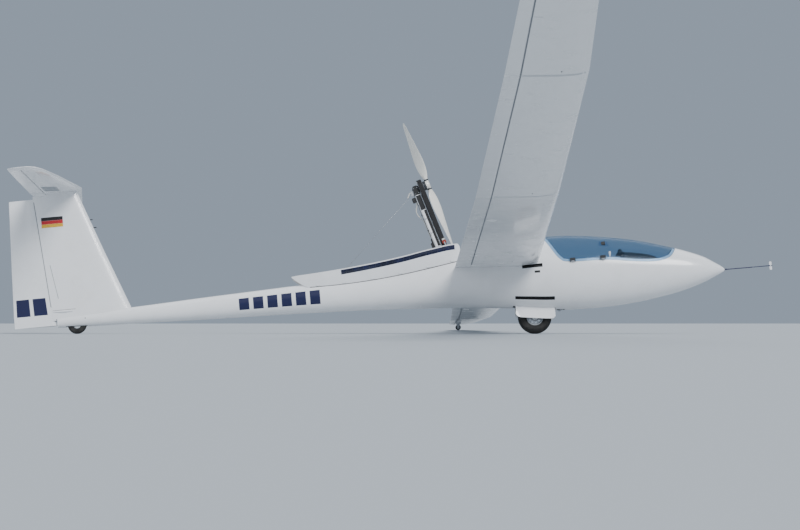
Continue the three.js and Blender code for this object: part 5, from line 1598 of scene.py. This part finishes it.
def pad_piece(line, half_width, thick, material):
    """A pad that follows a side-view line, with rounded edges, before it is puffed."""
    rings = []
    last = len(line) - 1
    for i, ((station, z), (run, climb)) in enumerate(zip(line, steepness_along(line))):
        end = min(i, last - i) / 3
        swell = math.sqrt(1 - (1 - min(1, end)) ** 2) * 0.8 + 0.2
        pull = 1 - 0.05 * math.sin(math.pi * i / last)
        ring = []
        for turn in turns(28):
            across = math.copysign(abs(math.cos(turn)) ** 0.35, math.cos(turn))
            up = math.copysign(abs(math.sin(turn)) ** 0.7, math.sin(turn)) * thick / 2 * swell
            ring.append(place(
                station - climb * up, across * half_width * pull * (0.9 + 0.1 * swell),
                z + run * up))
        rings.append(ring)
    return loft_piece(rings, material)


CUSHION = [
    (1252, -253), (1350, -260), (1470, -260), (1526, -252), (1572, -222), (1630, -154),
    (1700, -70), (1770, 16), (1822, 88)]
cushion_middle = through_points(offset_line(CUSHION, 20), 4)
seams = []
for (station, z), (next_station, next_z) in [cushion_middle[i:i + 2] for i in (6, 11, 16, 21, 26)]:
    spot = place(station, 0, z)
    seams.append((spot, (place(next_station, 0, next_z) - spot).normalized()))
pad = puffed(pad_piece(cushion_middle, 138, 28, brown_cloth), cushion_middle, 0.007, seams)
stands_for("seat_cushion", [pad], "airframe", 180)
piping = [
    hose_piece([place(s, y, z) for s, z in cushion_middle[2:-2]], 3, striped_cloth, 10, 2)
    for y in (-139, 139)]
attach(dressed("cushion_piping", piping), "airframe")

HEADREST = [
    (1832, 182), (1832, 196), (1831, 212), (1830, 228), (1829, 244), (1829, 260), (1830, 276),
    (1832, 290), (1834, 300)]
head_middle = through_points(HEADREST, 2)
pad = puffed(pad_piece(head_middle, 66, 34, striped_cloth), head_middle, 0.006, [])
stands_for("headrest", [pad], "airframe", 180)
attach(dressed("headrest_post", [
    rod(place(1846, 0, 186), place(1861.5, 0, 186), 13, dark_steel, 28),
    rod(place(1859, 0, 186), place(1861.6, 0, 186), 24, dark_steel, 28)]), "airframe")


# Harness: grey nylon webbing 44 mm wide over the shoulders and across the lap, joined at a round
# steel buckle, with an adjuster on each lap strap. It lies on the cushion.
webbing = cloth_material("grey_nylon_webbing", "#C3C6CA", "#A9ADB2")
WEBBING_HALF = 0.022
WEBBING_RISE = 0.0008
WEBBING_SIDE = [
    (-1, 0), (-0.96, 1), (-0.3, 1.15), (0.3, 1.15), (0.96, 1), (1, 0), (0.96, -1), (0.3, -1.15),
    (-0.3, -1.15), (-0.96, -1)]


def strap_piece(points, across=PORT):
    """Webbing that follows points, lying flat across a direction."""
    rings = []
    for point, along in smooth_path(points, 6):
        flat = (across - along * across.dot(along)).normalized()
        out = along.cross(flat)
        rings.append([
            point + flat * (a * WEBBING_HALF) + out * (b * WEBBING_RISE) for a, b in WEBBING_SIDE])
    return loft_piece(rings, webbing)


seat_face = offset_line(cushion_middle, 23)
BUCKLE = 11
buckle_station, buckle_z = seat_face[BUCKLE]
adjuster_side = [(0, -3), (20, -3), (24, 0), (20, 3), (0, 3)]
buckle_side = [
    (0, -4), (30, -4), (33, 0), (31, 9), (24, 13), (22, 11), (8, 11), (6, 15), (0, 15)]
parts = []
for end in (-1, 1):
    shoulder = [(1898, 92, 256), (1862, 92, 268), (1826, 90, 246), (1806, 86, 190)]
    for i in (30, 25, 20, 16, 13, 11):
        station, z = seat_face[i]
        shoulder.append((station, 26 + 52 * (i - BUCKLE) / 19, z + 1))
    parts.append(strap_piece([place(s, end * y, z) for s, y, z in shoulder]))
    lap = [
        (1560, 196, -190), (1540, 176, -208), (1518, 150, -206), (1490, 100, -203),
        (buckle_station + 6, 40, buckle_z + 3)]
    parts.append(strap_piece([place(s, end * y, z) for s, y, z in lap], AHEAD))
    parts.append(turned_piece(adjuster_side, place(1504, end * 125, -201.5), UP, 6, steel))
parts.append(turned_piece(
    buckle_side, place(buckle_station, 0, buckle_z + 4), UP, 40, dark_steel))
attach(dressed("harness", parts, 50), "airframe")


# Instrument panel: a moulded binnacle on a pedestal with a dark leathercloth hood, six round
# instruments, a radio and a row of switches facing the seat, and a compass on top.
# The hood is grained like leather, the panel's paint is rough and takes the glare off it
hood_cloth = mottled("dark_brown_leathercloth", "#2B2320", "#1C1614", 0.6, 180.0, 0.0005)
crackle = mottled("black_crackle_paint", "#2A2B2D", "#1B1C1E", 0.5, 260.0, 0.0006)
dial_face = mottled(
    "printed_dial_face", "#0C0D0E", "#0C0D0E", 0.25, 300.0, 0.00005, grain=300.0)
dial_marks = mottled("white_dial_marks", "#F1F1EC", "#DDDDD6", 0.5, 200.0)
HOOD = [
    (690, 62, 54), (722, 108, 60), (760, 150, 66), (830, 178, 70), (900, 196, 66),
    (1015, 217, 60), (1098, 227, 60), (1100, 227, 204), (1130, 231, 209), (1158, 232, 213),
    (1164, 229, 217)]
HOOD_HALF = 172
rings = []
for station, top, low in HOOD:
    half = min(HOOD_HALF, 120 + 52 * (station - 690) / 70)
    ring = []
    for turn in evenly(0, math.pi, 33):
        across = half * math.copysign(abs(math.cos(turn)) ** 0.5, math.cos(turn))
        rise = abs(math.sin(turn)) ** 0.45
        ring.append(place(station, across, low + (top - low) * rise))
    ring += [place(station, across, low) for across in evenly(-half, half, 9)[1:-1]]
    rings.append(ring)
binnacle_side = [(770, 64), (900, 120), (1100, 196), (1119, 198), (1100, -58), (1000, -58)]
pedestal_side = [(962, -338), (962, 38), (1088, 38), (1069, -110), (1049, -338)]
binnacle = plate_piece(binnacle_side, (-168, 168), crackle)
pedestal = plate_piece(pedestal_side, (-58, 58), crackle)
cabin_cut(pedestal, crackle)
parts = [bevelled(binnacle, 3, 2), pedestal, loft_piece(rings, hood_cloth)]
FACE_LOW = place(1100, 0, -58)
FACE_RISE = (place(1119, 0, 198) - FACE_LOW).normalized()
FACE_OUT = FACE_RISE.cross(PORT)


def on_panel(y, height, out=0.0):
    """A point of the instrument panel's face, from its lower edge."""
    return FACE_LOW + (FACE_RISE * height + PORT * y + FACE_OUT * out) / 1000


def pointing(turn):
    """A direction on the panel's face."""
    return PORT * math.cos(turn) + FACE_RISE * math.sin(turn)


INSTRUMENTS = [
    {"y": 0, "height": 196, "radius": 40, "pointer": 0.9},
    {"y": 88, "height": 196, "radius": 40, "pointer": 2.3},
    {"y": -88, "height": 196, "radius": 40, "pointer": 3.6},
    {"y": 46, "height": 122, "radius": 29, "pointer": 5.2},
    {"y": -46, "height": 122, "radius": 29, "pointer": 1.4},
    {"y": 112, "height": 122, "radius": 29, "pointer": 4.0},
]
for row in INSTRUMENTS:
    middle = on_panel(row["y"], row["height"])
    r = row["radius"]
    bezel = [(r - 3, 0), (r + 1, 0), (r + 2, 3), (r, 5), (r - 3, 5), (r - 4, 3)]
    dial = [(0, 0), (r - 3, 0), (r - 3, 1.6), (0, 1.6)]
    parts.append(turned_piece(bezel, middle, FACE_OUT, 48, black_plastic))
    parts.append(turned_piece(dial, middle, FACE_OUT, 40, dial_face))
    for turn in turns(12):
        tick = middle + pointing(turn) * ((r - 9) / 1000) + FACE_OUT * 0.0018
        parts.append(rod(tick, tick + pointing(turn) * 0.005, 0.6, dial_marks, 4))
    out = pointing(row["pointer"])
    base = middle + FACE_OUT * 0.0028
    parts.append(rod(base - out * 0.006, base + out * ((r - 10) / 1000), 0.8, dial_marks, 6))
    parts.append(rod(base, base + FACE_OUT * 0.002, 4, black_plastic, 20))
radio_face = [(-132, 100), (-84, 100), (-84, 146), (-132, 146)]
radio = loft_piece([[on_panel(*spot, out) for spot in radio_face] for out in (0, 6)],
                   black_plastic)
parts.append(bevelled(radio, 1.5))
knob_side = [(0, 0), (6, 0), (5, 10), (0, 10)]
parts += [
    turned_piece(knob_side, on_panel(y, 112, 6), FACE_OUT, 24, aluminium) for y in (-120, -96)]
for y in evenly(-60, 60, 6):
    base = on_panel(y, 62)
    parts.append(bolt(base, FACE_OUT * 0.003, 6))
    parts.append(rod(base, base + FACE_OUT * 0.015 + FACE_RISE * 0.006, 2, steel, 12))
compass = place(1128, 0, 232)
compass_side = [
    (0, -2), (20, -2), (22, 4), (24, 12), (23, 24), (17, 34), (9, 39), (0, 40)]
compass_glass = [(0, 0), (15, 0), (15, 3), (12, 6), (0, 7)]
parts.append(turned_piece(compass_side, compass, UP, 40, black_plastic))
parts.append(turned_piece(
    compass_glass, compass - AHEAD * 0.021 + UP * 0.018, -AHEAD, 32, acrylic))
stands_for("instrument_panel", parts, "airframe")


# Controls: the steel stick with its rubber grip, gaiter and button, the rudder pedals, and the
# levers on their tracks along the side walls, each with its own coloured knob.
grip = [
    (0, 0), (13, 0), (15, 6), (13, 18), (15.5, 28), (13, 40), (15.5, 52), (13.5, 64),
    (15.5, 78), (16, 96), (13, 108), (0, 112)]
gaiter = [
    (0, -2), (34, -2), (36, 3), (30, 10), (31, 14), (24, 22), (25, 26), (17, 34), (18, 38),
    (10, 46), (0, 47)]
stick_line = [(1160, -226), (1172, -140), (1184, -60), (1190, -22)]
grip_foot = place(1190, 0, -20)
parts = [
    hose_piece([place(s, 0, z) for s, z in stick_line], 9, steel, 24),
    turned_piece(grip, grip_foot, place(1204, 0, 92) - grip_foot, 36, black_plastic),
    turned_piece(gaiter, place(1160, 0, -226), UP, 40, rubber),
    rod(place(1204, 6, 88), place(1206, 6, 98), 5, red_rubber, 20)]
stands_for("control_stick", parts, "airframe", 50)

blue_plastic = mottled("blue_moulded_plastic", "#2A56A8", "#1F4386", 0.35, 90.0)
green_plastic = mottled("green_moulded_plastic", "#2F8A4A", "#236B39", 0.35, 90.0)
TRACKS = [{"z": 0, "stations": (1180, 1390, 1600)}, {"z": -60, "stations": (1240, 1400, 1560)}]
LEVERS = [
    {"station": 1290, "side": 1, "track": 0, "knob": blue_plastic, "reach": 62},
    {"station": 1420, "side": 1, "track": 0, "knob": black_plastic, "reach": 56},
    {"station": 1520, "side": 1, "track": -60, "knob": green_plastic, "reach": 30},
    {"station": 1350, "side": -1, "track": 0, "knob": black_plastic, "reach": 56},
    {"station": 1480, "side": -1, "track": 0, "knob": red_rubber, "reach": 40},
]
WALL = 26
parts = []
for end in (-1, 1):
    for row in TRACKS:
        line = [place(s, end * (hull(s, "half") - WALL), row["z"]) for s in row["stations"]]
        parts.append(hose_piece(line, 5, aluminium))
        parts += [
            rod(spot, spot + PORT * (end * 0.014), 7, black_plastic, 16)
            for spot in (line[0], line[-1])]
knob_side = [(0, -2), (9, 0), (12, 8), (12, 16), (8, 24), (0, 26)]
for row in LEVERS:
    half = hull(row["station"], "half") - WALL
    foot = place(row["station"], row["side"] * half, row["track"])
    tip = foot + (UP - PORT * row["side"]) * (row["reach"] * 0.6 / 1000)
    parts.append(rod(foot - AHEAD * 0.014, foot + AHEAD * 0.014, 9, black_plastic, 20))
    parts.append(rod(foot, tip, 4, steel, 16))
    parts.append(turned_piece(knob_side, tip, tip - foot, 28, row["knob"]))
pedal_side = [(462, -96), (470, -100), (500, 30), (492, 34)]
for end in (-1, 1):
    parts.append(bevelled(plate_piece(pedal_side, (end * 40, end * 112), aluminium), 2, 2))
    parts.append(rod(place(480, end * 76, -40), place(430, end * 76, -60), 7, steel, 20))
parts.append(rod(place(468, -116, -98), place(468, 116, -98), 6, steel, 20))
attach(dressed("cockpit_controls", parts), "airframe")


# Marks: plain blocks and stripes cut from adhesive film a third of a millimetre thick and laid on
# the gelcoat of the boom, the fin, the rudder and the port wing.
FILM = 0.35
# Film is a little shinier than cloth tape, which is matt and shows its weave
film_red = mottled("red_adhesive_film", "#C8202B", "#AE1A25", 0.4, 60.0, 0.0001)
film_gold = mottled("gold_adhesive_film", "#E3B53C", "#CFA12E", 0.4, 60.0, 0.0001)
film_black = mottled("black_adhesive_film", "#17181B", "#0F1012", 0.4, 60.0, 0.0001)
tape_grey = mottled("grey_cloth_tape", "#D5D8DB", "#C4C8CC", 0.7, 240.0)
patch_grey = mottled("grey_patch_tape", "#A9AEB3", "#999FA5", 0.7, 240.0)
# Seal grey is a grey seal strip; on the control-surface lips and round the airbrake caps it also
# stands as painted shade of the gaps
seal_grey_and_gap_shade = mottled("grey_seal_strip_and_painted_gap_shade", "#7D8288", "#696E74", 0.6, 240.0)


def on_surface(section_at, spot, side, share_of=lambda section, share: share):
    """Point function of a skin: the place along the span, the one along the chord, and height.

    The place along the chord is its share, or what share_of turns into one.
    """
    def point_at(at, mark, out):
        section = section_at(at)
        return spot(at, *section.point(share_of(section, mark), side, out))
    return point_at


def on_rudder(side):
    """Point function of the rudder's flat side: height, share from hinge to edge, height."""
    def point_at(z, share, out):
        section = fin_section(z)
        hinge, edge = section.point(section.hinge, 0), section.point(1, 0)
        across = section.radius + (EDGE_HALF - section.radius) * share + out
        return place(hinge[0] + (edge[0] - hinge[0]) * share, side * across, z)
    return point_at


parts = []
for i in range(6):
    front = 4455 + 156 * i
    near = 1620 + 362 * i
    parts += [
        patch_piece(evenly(front, front + 112, 5), evenly(*angles, 15), on_fuselage, navy, FILM)
        for angles in ((-30, 26), (154, 210))]
    parts.append(patch_piece(
        evenly(near, near + 268, 3), evenly(0.31, 0.79, 9),
        on_surface(wing_section, wing_spot(1), -1), navy, FILM))
for side in (-1, 1):
    fin_skin = on_surface(fin_section, fin_spot, side, Section.share)
    parts += [
        patch_piece([low, low + 38], evenly(7216, 7456, 9), fin_skin, film, FILM)
        for low, film in ((1112, film_black), (1073, film_red), (1034, film_gold))]
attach(dressed("painted_marks", parts), "airframe")
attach(dressed("rudder_marks", [
    patch_piece([72, 262], evenly(first, first + 0.37, 4), on_rudder(side), navy, FILM)
    for side in (-1, 1) for first in (0.08, 0.55)]), "rudder")


# Seals and tape: cloth tape over the joints between wing panels, and a grey seal strip along the
# lip ahead of every control surface, whose dark grey is also painted shade that shows the gap as
# a dark line. An aerial wire is taped to each side of the fin, and a grey patch under the port
# half of the tailplane.
parts = []
for side in (-1, 1):
    for sign in (1, -1):
        wing_skin = on_surface(wing_section, wing_spot(sign), side)
        wing_lip = on_surface(wing_section, wing_spot(sign), side, Section.lip)
        parts += [
            patch_piece([y - 24, y, y + 24], evenly(0.004, 0.79, 17), wing_skin, tape_grey, 0.25)
            for y in (4560, 9000)]
        for row in PANELS:
            spans = span_steps(WING, "y", max(row["first"], 420), row["last"], 600)
            parts.append(patch_piece(spans, [11, 0.6], wing_lip, seal_grey_and_gap_shade, 0.4))
    tail_lip = on_surface(tail_section, tail_spot, side, Section.lip)
    fin_lip = on_surface(fin_section, fin_spot, side, Section.lip)
    fin_skin = on_surface(fin_section, fin_spot, side, Section.share)
    parts += [
        patch_piece(spans, [8, 0.6], tail_lip, seal_grey_and_gap_shade, 0.4)
        for spans in ([-1530, -1400, -900, -30], [30, 900, 1400, 1530])]
    parts.append(patch_piece([150, 400, 720, 1050, 1330], [8, 0.6], fin_lip, seal_grey_and_gap_shade, 0.4))

    def beside_aerial(z, back, out, skin=fin_skin):
        return skin(z, 7277 + 0.179 * z + back, out)
    parts.append(patch_piece(evenly(240, 620, 5), [0, 5], beside_aerial, seal_grey_and_gap_shade, 0.3))
under_tail = on_surface(tail_section, tail_spot, -1, Section.share)
parts.append(patch_piece(
    evenly(-450, -150, 4), evenly(7212, 7378, 6), under_tail, patch_grey, 0.4))
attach(dressed("seal_strips", parts), "airframe")


# Airbrakes: a folding paddle in the top of each inner wing, closed by a cap strip that stands a
# hair proud of the skin, with a grey rim round it that is painted shade of the gap.
parts = []
for sign in (1, -1):
    wing_skin = on_surface(wing_section, wing_spot(sign), 1)
    # The grey strip under each cap shows round it as painted shade of the gap.
    parts.append(patch_piece(
        evenly(2996, 4404, 6), evenly(0.497, 0.556, 3), wing_skin, seal_grey_and_gap_shade, 0.25))
    parts.append(patch_piece(
        evenly(3000, 4400, 6), evenly(0.5, 0.553, 3), wing_skin, gelcoat, 0.9))
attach(dressed("airbrake_caps", parts), "airframe")


# Small fittings: pushrod fairings and drains under the wings, tubes on the fin, the fairing of
# the rudder's horn with a black line along it that is painted shade of its gap, and two static
# ports each side of the fuselage.
def blister(start, end, out, width, height):
    """A teardrop fairing between two points of a skin that it stands off."""
    along = (end - start).normalized()
    across = along.cross(out).normalized()
    out = across.cross(along)
    rings = []
    for share in evenly(0, 1, 13):
        swell = math.sin(math.pi * share ** 0.7) ** 0.7 + 0.02
        rings.append([
            start.lerp(end, share) + across * (math.cos(turn) * width / 2000 * swell)
            + out * (math.sin(turn) * height / 1000 * swell)
            for turn in turns(16)])
    return loft_piece(rings, gelcoat)


parts = []
for sign in (1, -1):
    wing_skin = on_surface(wing_section, wing_spot(sign), -1)
    parts += [
        blister(wing_skin(y, x - 0.12, 0), wing_skin(y, x + 0.005, 0), -UP, 26, 11)
        for y, x in ((700, 0.8), (3300, 0.79), (6400, 0.79), (10400, 0.79))]
    for y in (620, 4700, 9100):
        drain = wing_skin(y, 0.34, 0)
        parts.append(rod(drain + UP * 0.002, drain - UP * 0.004, 5, dark_steel, 16))
for z, reach in ((1090, 30), (1000, 34)):
    lead = fin_section(z).lead
    parts.append(rod(place(lead + 20, 0, z), place(lead - reach, 0, z), 5, black_plastic, 18))
for side in (-1, 1):
    fin_skin = on_surface(fin_section, fin_spot, side, Section.share)
    parts.append(blister(fin_skin(96, 7150, -6), fin_skin(96, 7396, 2), PORT * side, 30, 20))
    # A black line along the top of the horn's fairing: painted shade of its gap.
    horn_gap_shade_line = [fin_skin(112, station, 1.0) for station in (7140, 7220, 7300, 7395)]
    parts.append(hose_piece(horn_gap_shade_line, 1.6, black_plastic, 8, 2))
    for station, angle in ((2160, -44), (7040, 8)):
        angle = angle if side < 0 else 180 - angle
        parts.append(rod(
            on_fuselage(station, angle, -1), on_fuselage(station, angle, 0.6), 6, dark_steel, 20))
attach(dressed("small_fittings", parts), "airframe")


# Size: the solids' box and the dressed aircraft's, side by side as plain lists.
def plain_lists(box):
    """A box as plain lists of numbers."""
    if isinstance(box, dict):
        return {key: plain_lists(value) for key, value in box.items()}
    if isinstance(box, (int, float)):
        return float(box)
    return [plain_lists(value) for value in box]


{"cad": plain_lists(cad_box), "scene": plain_lists(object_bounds())}
